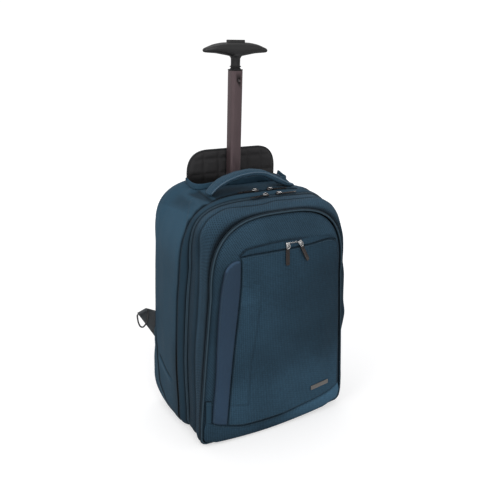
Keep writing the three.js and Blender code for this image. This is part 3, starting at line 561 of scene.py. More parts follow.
# ------------------------------------------------------------------ materials
class Nodes:
    def __init__(self, name):
        self.m = bpy.data.materials.new(name)
        self.m.use_nodes = True
        self.t = self.m.node_tree
        self.t.nodes.clear()
        out = self.t.nodes.new("ShaderNodeOutputMaterial")
        self.b = self.t.nodes.new("ShaderNodeBsdfPrincipled")
        self.t.links.new(self.b.outputs[0], out.inputs[0])

    def link(self, value, socket):
        if hasattr(value, "is_output") or hasattr(value, "links"):
            self.t.links.new(value, socket)
        else:
            socket.default_value = value

    def math(self, op, a, b=0.0, clamp=False):
        n = self.t.nodes.new("ShaderNodeMath")
        n.operation, n.use_clamp = op, clamp
        self.link(a, n.inputs[0])
        self.link(b, n.inputs[1])
        return n.outputs[0]

    def coords(self, kind="UV"):
        return self.t.nodes.new("ShaderNodeTexCoord").outputs[kind]

    def scaled(self, vec, scale):
        n = self.t.nodes.new("ShaderNodeMapping")
        self.link(vec, n.inputs["Vector"])
        n.inputs["Scale"].default_value = scale if hasattr(scale, "__len__") else (scale,) * 3
        return n.outputs[0]

    def xyz(self, vec):
        n = self.t.nodes.new("ShaderNodeSeparateXYZ")
        self.link(vec, n.inputs[0])
        return n.outputs

    def noise(self, vec, scale, detail=2.0, rough=0.5):
        n = self.t.nodes.new("ShaderNodeTexNoise")
        self.link(vec, n.inputs["Vector"])
        n.inputs["Scale"].default_value, n.inputs["Detail"].default_value, n.inputs["Roughness"].default_value = scale, detail, rough
        return n.outputs[0]

    def range(self, v, a, b, c, d):
        n = self.t.nodes.new("ShaderNodeMapRange")
        self.link(v, n.inputs[0])
        for i, x in enumerate((a, b, c, d)):
            n.inputs[i + 1].default_value = x
        return n.outputs[0]

    def mix(self, fac, a, b, mode="MIX"):
        n = self.t.nodes.new("ShaderNodeMix")
        n.data_type, n.blend_type = "RGBA", mode
        self.link(fac, n.inputs[0])
        self.link(a, n.inputs[6])
        self.link(b, n.inputs[7])
        return n.outputs[2]

    def grey(self, v):
        n = self.t.nodes.new("ShaderNodeCombineColor")
        for i in range(3):
            self.link(v, n.inputs[i])
        return n.outputs[0]

    def tone(self):
        n = self.t.nodes.new("ShaderNodeAttribute")
        n.attribute_name = "tone"
        return n.outputs["Fac"]

    def bump(self, height, strength, distance, normal=None):
        n = self.t.nodes.new("ShaderNodeBump")
        self.link(height, n.inputs["Height"])
        n.inputs["Strength"].default_value, n.inputs["Distance"].default_value = strength, distance
        if normal is not None:
            self.link(normal, n.inputs["Normal"])
        return n.outputs[0]

    def set(self, **values):
        for k, v in values.items():
            self.link(v, self.b.inputs[k.replace("_", " ")])
        return self


def rgb(r, g, b):
    return (r, g, b, 1.0)


TAU = 2 * math.pi


def weave(N, uv, kind, pitch):
    """Height of a woven surface, 0 to 1; pitch in metres."""
    x, y, _ = N.xyz(uv)
    k = TAU / pitch
    if kind == "plain":
        a = N.math("SINE", N.math("MULTIPLY", x, k))
        b = N.math("SINE", N.math("MULTIPLY", y, k))
        h = N.math("MULTIPLY", a, b)
    elif kind == "twill":
        a = N.math("SINE", N.math("MULTIPLY", N.math("ADD", x, N.math("MULTIPLY", y, 0.62)), k))
        b = N.math("SINE", N.math("MULTIPLY", N.math("SUBTRACT", N.math("MULTIPLY", x, 0.7), y), k * 1.15))
        h = N.math("MAXIMUM", N.math("MULTIPLY", a, 0.8), N.math("MULTIPLY", b, a))
    elif kind == "stripe":
        a = N.math("SINE", N.math("MULTIPLY", x, k))
        b = N.math("SINE", N.math("MULTIPLY", N.math("ADD", y, N.math("MULTIPLY", x, 0.35)), k * 0.8))
        h = N.math("ADD", N.math("MULTIPLY", a, 0.75), N.math("MULTIPLY", b, 0.25))
    elif kind == "rib":
        a = N.math("SINE", N.math("MULTIPLY", x, k))
        b = N.math("SINE", N.math("MULTIPLY", y, k * 0.45))
        h = N.math("ADD", N.math("MULTIPLY", a, 0.75), N.math("MULTIPLY", N.math("MULTIPLY", a, b), 0.4))
    else:
        a = N.math("SINE", N.math("MULTIPLY", x, k))
        b = N.math("SINE", N.math("MULTIPLY", y, k))
        h = N.math("SUBTRACT", 0.4, N.math("MULTIPLY", N.math("MULTIPLY", a, a), N.math("MULTIPLY", b, b)))
    return N.math("ADD", N.math("MULTIPLY", h, 0.5), 0.5)


def cloth(name, colour, kind="plain", pitch=0.0011, relief=0.12, contrast=0.10, rough=0.82, sheen=0.05, mottle=0.07, spec=0.16, tint=None):
    N = Nodes(name)
    uv, ob = N.coords("UV"), N.coords("Object")
    h = weave(N, uv, kind, pitch)
    broad = N.noise(ob, 9.0, 3.0)
    fine = N.noise(ob, 260.0, 2.0)
    shade = N.math("ADD", N.range(broad, 0.3, 0.7, 1 - mottle, 1 + mottle), N.range(fine, 0.3, 0.7, -mottle * 0.7, mottle * 0.7))
    shade = N.math("MULTIPLY", shade, N.range(h, 0.0, 1.0, 1 - contrast, 1 + contrast))
    # The per-point tone attribute multiplies the base colour; on most pieces it carries painted shade and painted
    # highlights.
    shade = N.math("MULTIPLY", shade, N.tone())
    base = N.mix(1.0, rgb(*colour), N.grey(shade), "MULTIPLY")
    normal = N.bump(N.noise(ob, 420.0, 2.0), 0.10, 0.0006)
    normal = N.bump(h, relief, pitch * 0.35, normal)
    N.set(Base_Color=base, Roughness=N.range(fine, 0.3, 0.7, rough - 0.05, rough + 0.05), Normal=normal)
    N.b.inputs["Sheen Weight"].default_value = sheen
    N.b.inputs["Sheen Roughness"].default_value = 0.45
    N.b.inputs["Sheen Tint"].default_value = rgb(*(tint or (0.55, 0.66, 0.78)))
    N.b.inputs["Specular IOR Level"].default_value = spec
    return N.m


def hard(name, colour, rough=0.5, metal=0.0, grain=0.0, grain_scale=600.0, streak=None, spread=0.05, spec=0.5, coat=0.0):
    N = Nodes(name)
    ob = N.coords("Object")
    at = N.scaled(ob, streak) if streak else ob
    g = N.noise(at, grain_scale if not streak else 1.0, 3.0)
    wear = N.noise(ob, 35.0, 3.0)
    base = N.mix(1.0, rgb(*colour), N.grey(N.math("MULTIPLY", N.range(g, 0.3, 0.7, 1 - spread, 1 + spread), N.tone())), "MULTIPLY")
    N.set(Base_Color=base, Roughness=N.math("ADD", N.range(g, 0.3, 0.7, rough - 0.04, rough + 0.04), N.range(wear, 0.3, 0.7, -0.03, 0.03)))
    N.b.inputs["Metallic"].default_value = metal
    N.b.inputs["Specular IOR Level"].default_value = spec
    if coat:
        N.b.inputs["Coat Weight"].default_value = coat
        N.b.inputs["Coat Roughness"].default_value = 0.15
    if grain:
        N.set(Normal=N.bump(g, grain, 0.0004))
    return N.m


SHELL = cloth("shell_fabric", (0.0205, 0.0530, 0.0830), "plain", 0.0012, 0.14, 0.08)
TWILL = cloth("twill_fabric", (0.0225, 0.0500, 0.0765), "twill", 0.0046, 0.5, 0.55, mottle=0.15, spec=0.12)
POCKET = cloth("pocket_twill", (0.0178, 0.0425, 0.0665), "stripe", 0.0036, 0.35, 0.24, mottle=0.17, spec=0.12)
TRIM = cloth("smooth_trim", (0.0180, 0.0400, 0.0720), "plain", 0.0007, 0.05, 0.02, rough=0.5, sheen=0.02, mottle=0.06, spec=0.22)
PIPING = cloth("piping_cord", (0.0290, 0.0600, 0.0850), "plain", 0.0010, 0.10, 0.06, rough=0.6, spec=0.25)
TAPE = cloth("zip_tape", (0.0085, 0.0175, 0.0260), "rib", 0.0012, 0.25, 0.12, rough=0.78)
TAPE_LIGHT = cloth("zip_tape_light", (0.0260, 0.0540, 0.0780), "rib", 0.0012, 0.25, 0.10, rough=0.75)
COIL = hard("zip_coil", (0.010, 0.020, 0.030), 0.5, spec=0.3)
MESH = cloth("black_mesh", (0.0265, 0.0260, 0.0270), "net", 0.0028, 0.55, 0.30, rough=0.85, sheen=0.06, tint=(0.6, 0.58, 0.58))
WING = cloth("wing_webbing", (0.060, 0.066, 0.071), "rib", 0.0018, 0.5, 0.2, rough=0.7, sheen=0.06, tint=(0.6, 0.6, 0.6))
# A lighter copy of the piping colour: painted highlight along the handle's edges.
HANDLE_EDGE_PAINTED_HIGHLIGHT = cloth("handle_edge", (0.060, 0.105, 0.150), "plain", 0.0010, 0.10, 0.06, rough=0.55, spec=0.3)
WEBBING = cloth("black_webbing", (0.0240, 0.0250, 0.0265), "rib", 0.0018, 0.5, 0.2, rough=0.8, sheen=0.06, tint=(0.6, 0.6, 0.6))
# Near-black: painted shade of the hollow round the pole, darker than any black part.
WELL_LINING_PAINTED_SHADE = cloth("well_lining", (0.006, 0.006, 0.0065), "plain", 0.0012, 0.1, 0.08, sheen=0.02)
THREAD = cloth("thread", (0.040, 0.074, 0.100), "plain", 0.0006, 0.1, 0.05, rough=0.6)
DARK_THREAD = cloth("dark_thread", (0.016, 0.032, 0.046), "plain", 0.0006, 0.1, 0.05, rough=0.7)
PLASTIC = hard("black_plastic", (0.040, 0.040, 0.041), 0.46, grain=0.22, grain_scale=1500, spec=0.42)
GRIP_PLASTIC = hard("grip_plastic", (0.0115, 0.0115, 0.0117), 0.5, grain=0.22, grain_scale=1500, spec=0.45)
NECK = hard("neck_plastic", (0.009, 0.009, 0.0094), 0.5, grain=0.2, grain_scale=1500, spec=0.34)
HUB = hard("hub_plastic", (0.045, 0.045, 0.05), 0.42, grain=0.08, grain_scale=900)
POLE = hard("pole_anodised", (0.112, 0.080, 0.085), 0.36, metal=0.6, grain=0.05, streak=(900, 900, 3), spread=0.06)
GUN = hard("zip_metal", (0.060, 0.052, 0.050), 0.26, metal=0.9, grain=0.03, grain_scale=500)
CHROME = hard("zip_ring", (0.62, 0.61, 0.60), 0.16, metal=1.0)
DARK_METAL = hard("slider_metal", (0.10, 0.095, 0.095), 0.3, metal=1.0)
PEWTER = hard("plate_metal", (0.24, 0.225, 0.21), 0.36, metal=1.0, grain=0.06, streak=(20, 20, 900), spread=0.06)
STEEL = hard("axle_steel", (0.5, 0.5, 0.52), 0.3, metal=1.0, grain=0.04)
RUBBER = hard("wheel_rubber", (0.018, 0.018, 0.018), 0.75, grain=0.3, grain_scale=900, spec=0.3)

# ------------------------------------------------------------------ camera, light and floor
RIGHT, FORWARD = Vector((0.8589, -0.5119, 0.0122)).normalized(), Vector((0.4903, 0.8153, -0.3082)).normalized()
UP = RIGHT.cross(FORWARD).normalized()
RIGHT = FORWARD.cross(UP).normalized()
cam_data = bpy.data.cameras.new("camera")
cam_data.sensor_fit, cam_data.sensor_width, cam_data.lens = "HORIZONTAL", 36, 46.70
cam_data.clip_start, cam_data.clip_end = 0.05, 60
cam = bpy.data.objects.new("camera", cam_data)
cam.matrix_world = Matrix(((RIGHT.x, UP.x, -FORWARD.x, -0.63402), (RIGHT.y, UP.y, -FORWARD.y, -1.05173), (RIGHT.z, UP.z, -FORWARD.z, 0.73998), (0, 0, 0, 1)))
bpy.context.scene.collection.objects.link(cam)
bpy.context.scene.camera = cam

scene = bpy.context.scene
scene.view_settings.view_transform = "Standard"
scene.view_settings.look = "None"
world = bpy.data.worlds.new("studio")
scene.world = world
world.use_nodes = True
wt = world.node_tree
wt.nodes.clear()
w_out, w_bg = wt.nodes.new("ShaderNodeOutputWorld"), wt.nodes.new("ShaderNodeBackground")
w_co, w_sep, w_ramp = wt.nodes.new("ShaderNodeTexCoord"), wt.nodes.new("ShaderNodeSeparateXYZ"), wt.nodes.new("ShaderNodeValToRGB")
wt.links.new(w_co.outputs["Generated"], w_sep.inputs[0])
wt.links.new(w_sep.outputs[2], w_ramp.inputs[0])
wt.links.new(w_ramp.outputs[0], w_bg.inputs[0])
wt.links.new(w_bg.outputs[0], w_out.inputs[0])
e = w_ramp.color_ramp.elements
e[0].position, e[0].color = 0.10, (1, 1, 1, 1)
e[1].position, e[1].color = 0.42, (0.46, 0.46, 0.47, 1)
w_bg.inputs[1].default_value = 1.06


def area_light(name, at, aim, size, power, colour=(1, 1, 1)):
    d = bpy.data.lights.new(name, "AREA")
    d.shape, d.size, d.size_y, d.energy, d.color = "RECTANGLE", size[0], size[1], power, colour
    o = bpy.data.objects.new(name, d)
    o.location = at
    o.rotation_euler = (Vector(aim) - Vector(at)).to_track_quat("-Z", "Y").to_euler()
    scene.collection.objects.link(o)


area_light("softbox_left", (-2.3, -0.6, 2.0), (0, 0, 0.35), (1.5, 1.5), 24)
area_light("softbox_front", (-0.7, -2.6, 2.1), (0, 0, 0.32), (1.5, 1.2), 33)
area_light("softbox_top", (0.3, 0.6, 2.6), (0, 0, 0.3), (1.6, 1.6), 10)

fl = bpy.data.meshes.new("floor")
fl.from_pydata([(-20, -20, -0.0004), (20, -20, -0.0004), (20, 20, -0.0004), (-20, 20, -0.0004)], [], [(0, 1, 2, 3)])
floor = bpy.data.objects.new("floor", fl)
scene.collection.objects.link(floor)
FN = Nodes("floor_paper")
FN.set(Base_Color=FN.mix(FN.noise(FN.coords("Object"), 3.0), rgb(0.60, 0.60, 0.60), rgb(0.61, 0.61, 0.61)), Roughness=0.95)
FN.b.inputs["Specular IOR Level"].default_value = 0.0
FN.b.inputs["Emission Color"].default_value = (1, 1, 1, 1)
f_scale, f_grad = FN.t.nodes.new("ShaderNodeVectorMath"), FN.t.nodes.new("ShaderNodeTexGradient")
f_scale.operation, f_grad.gradient_type = "SCALE", "SPHERICAL"
FN.link(FN.coords("Object"), f_scale.inputs[0])
f_scale.inputs["Scale"].default_value = 0.7
FN.link(f_scale.outputs[0], f_grad.inputs[0])
# The camera-only glow is weaker near the middle of the floor: a painted shadow round the bag.
floor_glow_painted_shadow = FN.math("ADD", FN.math("MULTIPLY", f_grad.outputs[1], -0.25), 0.73)
FN.link(FN.math("MULTIPLY", FN.t.nodes.new("ShaderNodeLightPath").outputs["Is Camera Ray"], floor_glow_painted_shadow), FN.b.inputs["Emission Strength"])
fl.materials.append(FN.m)

# ------------------------------------------------------------------ rear shell
SEAM_SIDE = [on_side(84.5, 408), on_side(84.5, 200), on_side(80, 170), on_side(74, 146), on_side(64, 119), on_side(58.5, 88), on_side(55, 64), on_side(47, 50), on_side(37, 39.5), on_side(24, 28.5), on_side(10, 23.5), on_side(-7.5, 21.5), on_side(-34, 20)]
SEAM_SIDE = smooth_line(SEAM_SIDE, 3.0)


def mirrored(line):
    return np.asarray(line, float) * [-1, 1, 1]


def with_mirror(P, line):
    """Distance to a line and to its mirror image, whichever is nearer."""
    a, s = line_distance(P, line)
    b, t = line_distance(P, mirrored(line))
    return np.minimum(a, b), np.where(a < b, s, t)


RIDGE = [(-119, 4 - 7.7, 455), (-136.6, -23.3 - 7.5, 440), (-149.5, -41 - 7.2, 423), (-156, -47 - 6.9, 405)]
ARC = [on_side(66, 150), on_side(65, 280), on_side(66, 395), (-143.4, 69 - 7.5, 442.8), (-133.4, 72 - 7.7, 453), (-119, 75 - 7.9, 463), on_top(76, -95)]
FOLD = [on_side(56, 126.5), on_side(48, 121.5), on_side(40, 117.5), on_side(26, 110.5), on_side(13, 105), on_side(0, 101), on_side(-14, 98.4)]
FOOT_L = [on_top(19, -97), on_top(0, -98), on_top(-20, -98.5), on_top(-36, -99)]
FOOT_R = [on_top(19, 90), on_top(0, 91), on_top(-20, 91.5), on_top(-36, 92)]


def corner_rise(P, Y0):
    """The top's right corner stands higher than the left one."""
    x, z = P[..., 0], P[..., 2]
    return 4.6 * smooth(70, 108, x) * smooth(148, 128, x) * smooth(425, 442, z) * gauss(Y0 + 42, 34)


def shell_disp(P, Y0):
    x, y, z = P[..., 0], P[..., 1], P[..., 2]
    e = Y0 - Y0.min()
    back = Y_BACK - Y0
    side = smooth(60, 150, np.abs(x)) * (1 - smooth(380, 440, z))
    d = 0.35 + lip(e, 2.6) + lip(back, 5.0) + corner_rise(P, Y0)
    d += 3.0 * smooth(60, 130, -x) * smooth(30, 70, Y0) * smooth(20, 50, z) * smooth(150, 100, z)
    d += side * (1.6 * np.sin(np.clip((Y0 + 37) / 124, 0, 1) * math.pi) * smooth(30, 120, z))
    d += 0.9 * noise(P, (60, 46, 120), 3) * smooth(0, 14, e) * smooth(0, 14, back)
    d += 0.35 * noise(P, (26, 20, 44), 5) * smooth(0, 10, e)
    s, _ = with_mirror(P, SEAM_SIDE)
    inside = smooth(-2, 2, np.where(z > 140, 84 - Y0, 1))
    d -= 1.2 * gauss(s, 1.8)
    s, t = with_mirror(P, FOLD)
    below = np.sign(np.interp(Y0, [-14, 0, 26, 48], [98.4, 101, 110.5, 121.5]) - z)
    d += np.sin(np.clip(t, 0.02, 0.98) * math.pi) ** 0.5 * (-1.5 * gauss(s, 1.9) + np.where(below > 0, 1.5 * gauss(s - 7, 6), 0.3 * gauss(s - 5, 5)))
    s, t = with_mirror(P, RIDGE)
    d += 1.7 * gauss(s, 3.4) * smooth(0, 0.15, t)
    d -= 0.9 * gauss(s - 6.5, 3.0) * (z > 380)
    s, t = with_mirror(P, ARC)
    d -= 0.55 * gauss(s, 1.6)
    d += 0.5 * gauss(s - 3.5, 2.6)
    for line, cx in ((FOOT_L, -1), (FOOT_R, 1)):
        s, t = line_distance(P, line)
        d -= 1.3 * gauss(s, 1.6)
        out = cx * x - abs(line[0][0])
        d -= 3.0 * gauss(np.maximum(s - 8, 0), 6) * smooth(-1, 5, out) * (1 - smooth(16, 26, out))
        d += 1.2 * gauss(s - 21, 5) * smooth(0, 6, out) * (z > 430)
    rim = line_distance(P, RIM_PATH)[0]
    d -= 0.8 * gauss(rim - 2.5, 2.0)
    d -= 1.2 * gauss(np.abs(x), 60) * smooth(-36, -10, Y0) * (1 - smooth(0, 15, Y0)) * (z > 430)
    for k, at in enumerate((-128.0, -137.0, -145.5)):
        d += 1.3 * gauss(x - at - 0.10 * (Y0 + 10), 2.2) * smooth(436, 444, z) * smooth(-40, -30, Y0) * smooth(24 + 4 * k, 4 + 4 * k, Y0)
    return d


RIM_POINTS = [(WELL[0] - 3, 60), (WELL[0] - 3, 34), (WELL[0] + 3, 20), (WELL[0] + 18, 12), (-45, 8), (3, 6), (50, 8), (WELL[1] - 18, 12), (WELL[1] - 3, 20), (WELL[1] + 3, 34), (WELL[1] + 3, 60)]
RIM_PLAN = smooth_line(RIM_POINTS, 4.0)
RIM_PATH = np.array([(x, y, top_z(y - LEAN * 470, x)) for x, y in RIM_PLAN])


# Painted light and shade on the rear shell: lighter upwards and darker low down, painted shade along the front edge,
# the side seam, the fold, the arc and the handle feet, a painted highlight below the fold, and painted shadow on the
# top under the handle.
def shell_painted_shade(P, Y0):
    x, z = P[..., 0], P[..., 2]
    e = Y0 - Y0.min()
    t = 1.0 + 0.08 * smooth(150, 420, z) - 0.08 * smooth(170, 60, z) - (0.10 + 0.52 * smooth(25, -20, x) * smooth(20, -10, Y0)) * (np.abs(x) < 90) * (z > 430)
    t *= 1 - 0.68 * gauss(e, 2.8) - 0.38 * gauss(e, 22) * smooth(230, 130, z)
    flat = [0, 1, 1]
    s = np.where(np.abs(x) > 90, line_distance(P * flat, SEAM_SIDE * flat)[0], 99)
    t *= 1 - (0.20 + 0.65 * smooth(215, 160, z)) * gauss(s, 3.6)
    s, q = line_distance(P * flat, np.asarray(FOLD, float) * flat)
    s = np.where(np.abs(x) > 90, s, 99)
    below = np.interp(Y0, [-14, 0, 26, 48], [98.4, 101, 110.5, 121.5]) - z
    ends = smooth(0, 0.12, q) * smooth(1, 0.75, q)
    t *= 1 - 0.72 * gauss(s, 2.9) * ends
    t *= 1 + 0.30 * gauss(s - 10, 11) * (below > 0) * ends
    t *= 1 - 0.09 * smooth(105, 160, z) * smooth(380, 320, z) + 0.15 * smooth(330, 385, z) * (z < 436)
    s, _ = with_mirror(P, ARC)
    t *= 1 - 0.12 * gauss(s, 1.4) + 0.14 * gauss(s - 3, 1.8)
    top = smooth(436, 446, z)
    for line in (FOOT_L, FOOT_R):
        s, _ = line_distance(P, line)
        t *= 1 - 0.5 * gauss(s, 2.0) * top
    share = np.clip((26 - Y0) / 64, 0, 1)
    centre, half = -104.5 + 5.5 * share, 10.5 - 8.5 * share
    t *= 1 - 0.50 * smooth(half + 4.5, half - 2.5, np.abs(x - centre)) * smooth(-44, -38, Y0) * smooth(34, 20, Y0) * (z > 430)
    t *= 1 - 0.30 * smooth(-118, -128, x) * smooth(-30, 10, Y0) * smooth(60, 30, Y0) * top
    return t


shell_rows = np.concatenate([rows_between(-36.65, 60, 2.2)[:-5], np.arange(59, 80, 2.4), Y_BACK - np.array([5.0, 3.6, 2.4, 1.4, 0.7, 0.25, 0.0])])
shell, SP, SN, S_OUT = band("shell_body", shell_rows, shell_disp, WALL + 0.6, FINE, 6, shell_painted_shade)

# back wall inside the rear edge
back_poly = outline(Y_BACK, 3.4, MEDIUM)


def back_top(uv, d):
    p = np.stack([uv[:, 0], np.full(len(uv), Y_BACK - 0.6) + LEAN * uv[:, 1], uv[:, 1]], -1)
    p[:, 1] += 0.9 * smooth(0, 12, d) + 0.5 * noise(p, (60, 60, 60), 8) * smooth(0, 10, d)
    return p


back_wall = plate("shell_back", back_poly, 7.0, back_top, lambda uv, d: np.stack([uv[:, 0], np.full(len(uv), Y_BACK - 4.2) + LEAN * uv[:, 1], uv[:, 1]], -1), 30)


def prism(name, outline_xy, z0, z1):
    pts = np.asarray(outline_xy, float)
    R = np.stack([np.column_stack([pts, np.full(len(pts), z)]) for z in (z0, z1)])
    return loft(name, R)


def box_tool(name, x0, x1, y0, y1, z0, z1):
    return prism(name, [(x0, y0), (x1, y0), (x1, y1), (x0, y1)], z0, z1)


def cut(o, tools, remove=True):
    for t in tools:
        m = o.modifiers.new("cut", "BOOLEAN")
        m.operation, m.object, m.solver = "DIFFERENCE", t, "MANIFOLD"
    apply_modifiers(o)
    for t in tools if remove else ():
        bpy.data.objects.remove(t)
    return o


well_outline = round_corners([(WELL[0], WELL[2]), (WELL[1], WELL[2]), (WELL[1], WELL[3]), (WELL[0], WELL[3])], [14, 14, 6, 6])
wheel_tools = [box_tool(f"wheel_cut_{s}", s * WHEEL_X - 18.35, s * WHEEL_X + 18.35, 19.65, 130, -10, 76.35) for s in (-1, 1)]
cut(shell, [prism("well_cut", well_outline, 440, 520)] + wheel_tools, remove=False)
bpy.data.objects.remove(bpy.data.objects["well_cut"])
cut(back_wall, wheel_tools)
shell = join([shell, back_wall], "rear_shell_cloth")
piece(shell, SHELL, replaces=("rear_shell",), sharp=50)

# lining of the pole well; its near-black colour is painted shade of the hollow
lin = []
for inset, z in ((1.2, 471), (1.2, 452), (1.6, 430), (3, 405), (8, 396)):
    q = round_corners([(WELL[0] + inset, WELL[2] + inset), (WELL[1] - inset, WELL[2] + inset), (WELL[1] - inset, 76 - inset), (WELL[0] + inset, 76 - inset)], [14, 14, 6, 6])
    lin.append(np.column_stack([resample(q, 6.0), np.full(len(resample(q, 6.0)), z)]))
n_min = min(len(r) for r in lin)
lin = [r if len(r) == n_min else np.column_stack([np.array([np.interp(np.linspace(0, 1, n_min, endpoint=False), np.linspace(0, 1, len(r), endpoint=False), r[:, k]) for k in (0, 1)]).T, np.full(n_min, r[0, 2])]) for r in lin]
outer_l = np.array(lin)
centre_l = outer_l.mean(1, keepdims=True)
inner_l = outer_l.copy()
inner_l[..., :2] = centre_l[..., :2] + (outer_l[..., :2] - centre_l[..., :2]) * 0.985
inner_l[-1, :, 2] += 1.5
lining = loft("well_lining", np.concatenate([outer_l[::-1], inner_l]))
hole = round_corners([(POLE_X - 16, 33.5), (POLE_X + 16, 33.5), (POLE_X + 16, 67), (POLE_X - 16, 67)], [9] * 4)
cut(lining, [prism("lining_hole", hole, 380, 410)])
piece(lining, WELL_LINING_PAINTED_SHADE, sharp=40)

# corded seam at the lower rear corner and up the rear edge, on both sides
seams = []
near_edge = S_OUT[shell_rows > -37].reshape(-1, 3)
for sign in (-1, 1):
    wall = near_edge[near_edge[:, 0] * sign > 100]
    line = (SEAM_SIDE * [-sign, 1, 1])[::2]
    along = unit(np.gradient(line[:, 1:], axis=0))
    away = np.stack([along[:, 1], -along[:, 0]], -1)
    away *= np.sign(away @ [1, -1])[:, None]
    line[:, 1:] += away * (2.0 + 3.0 * smooth(215, 150, line[:, 2]))[:, None]
    for q in line:
        d2 = ((wall[:, 1:] - q[1:]) ** 2).sum(1)
        k = np.argsort(d2)[:4]
        q[0] = np.average(wall[k, 0], weights=1 / (d2[k] + 0.3))
    rise = smooth(408, 330, line[:, 2])
    line[:, 0] += sign * (1.2 * rise * smooth(85, 130, line[:, 2]) - 0.6)
    seams.append(tube(f"rear_seam_{sign}", smooth_line(line, 3.0), 1.8, 8))
piece(join(seams, "rear_seam_cord"), PIPING)


# ------------------------------------------------------------------ zips and bands
def mid_disp(P, Y0):
    e, f = Y0 - Y0.min(), Y0.max() - Y0
    d = 0.25 + lip(f, 1.6) + lip(e, 1.8) + 0.8 * np.sin(np.clip(e / (e + f + 1e-9), 0, 1) * math.pi)
    d += corner_rise(P, Y0)
    return d + 0.5 * noise(P, (50, 30, 90), 11) * smooth(0, 3, e) * smooth(0, 3, f)


# Painted light and shade on the mid band: lighter on the top, darker at both edges beside the zips.
mid, *_ = band("mid_band", rows_between(-56.9, -41.2, 1.6, 2.4), mid_disp, WALL, FINE, 3, lambda P, Y0: (0.60 + 0.30 * smooth(425, 447, P[..., 2]) * (1 - 0.35 * smooth(-30, -95, P[..., 0]))) * (1 - 0.70 * gauss(Y0 + 56.9, 2.8) - 0.60 * gauss(Y0 + 41.2, 2.4)))
piece(mid, SHELL, replaces=("mid_gusset",))


def zip_disp_a(P, Y0):
    u = (Y0 - Y0.min()) / (Y0.max() - Y0.min()) * 2 - 1
    return -2.4 + 0.5 * (1 - u * u) + corner_rise(P, Y0)


zip_a, ZA_P, ZA_N, ZA_O = band("zip_band_a", np.linspace(-41.0, -36.9, 7), zip_disp_a, 4.4, FINE, 2)
piece(zip_a, TAPE, replaces=("zip_a",))


def zip_disp_b(P, Y0):
    u = (Y0 + 61) / 3.7
    return 0.5 + 0.5 * (1 - np.abs(u) ** 4) - 1.2 * smooth(0.8, 1.0, np.abs(u)) - 0.45 * gauss(u, 0.22) + corner_rise(P, Y0)


# Painted shade darkens both edges of the zip band; a darker line also runs along its middle.
zip_b, ZB_P, ZB_N, ZB_O = band("zip_band_b", np.concatenate([[-64.7, -64.4, -63.9, -63.2], np.linspace(-62.4, -59.6, 9), [-58.8, -58.1, -57.6, -57.3]]), zip_disp_b, 2.6, FINE, 2, lambda P, Y0: 0.35 + 0.65 * smooth(3.7, 2.4, np.abs(Y0 + 60.6)) - 0.35 * gauss(Y0 + 60.6, 0.7))
piece(zip_b, TAPE_LIGHT, replaces=("zip_b",))


def coil(name, outer, N, lift, width, pitch=1.9):
    """Teeth of a coil zip along the middle row of a band."""
    row = outer[len(outer) // 2]
    nn = N[len(N) // 2]
    p = np.concatenate([row, row[:1]])
    s = np.concatenate([[0], np.cumsum(np.linalg.norm(np.diff(p, axis=0), axis=1))])
    at = np.arange(0, s[-1] - pitch / 2, pitch)
    n3 = np.concatenate([nn, nn[:1]])
    C = np.stack([np.interp(at, s, p[:, k]) for k in range(3)], -1)
    nrm = unit(np.stack([np.interp(at, s, n3[:, k]) for k in range(3)], -1))
    T = unit(np.roll(C, -1, 0) - np.roll(C, 1, 0))
    nrm = unit(nrm - (nrm * T).sum(-1, keepdims=True) * T)
    shape, faces = capsule(width, pitch * 0.72, 1.1)
    return scatter(name, C + nrm * lift, np.cross(nrm, T), T, nrm, shape, faces)


piece(coil("zip_coil_a", ZA_O, ZA_N, 0.35, 3.0), COIL)
piece(coil("zip_coil_b", ZB_O, ZB_N, 0.25, 2.2), COIL)

# front gusset with its soft seam
C_SIDE = table([(0, -93), (67, -93), (194, -90.6), (332, -92), (413, -86.5), (432, -89), (447, -87), (470, -87)], 0, 1)
C_TOP = table([(-150, -88), (-125, -88), (-96, -84), (-64, -90.5), (-26, -93), (8, -86.5), (61, -89), (110, -88), (150, -88)], 0, 1)


def seam_c(P):
    top = smooth(425, 447, P[..., 2])
    return C_SIDE(P[..., 2]) * (1 - top) + C_TOP(P[..., 0]) * top


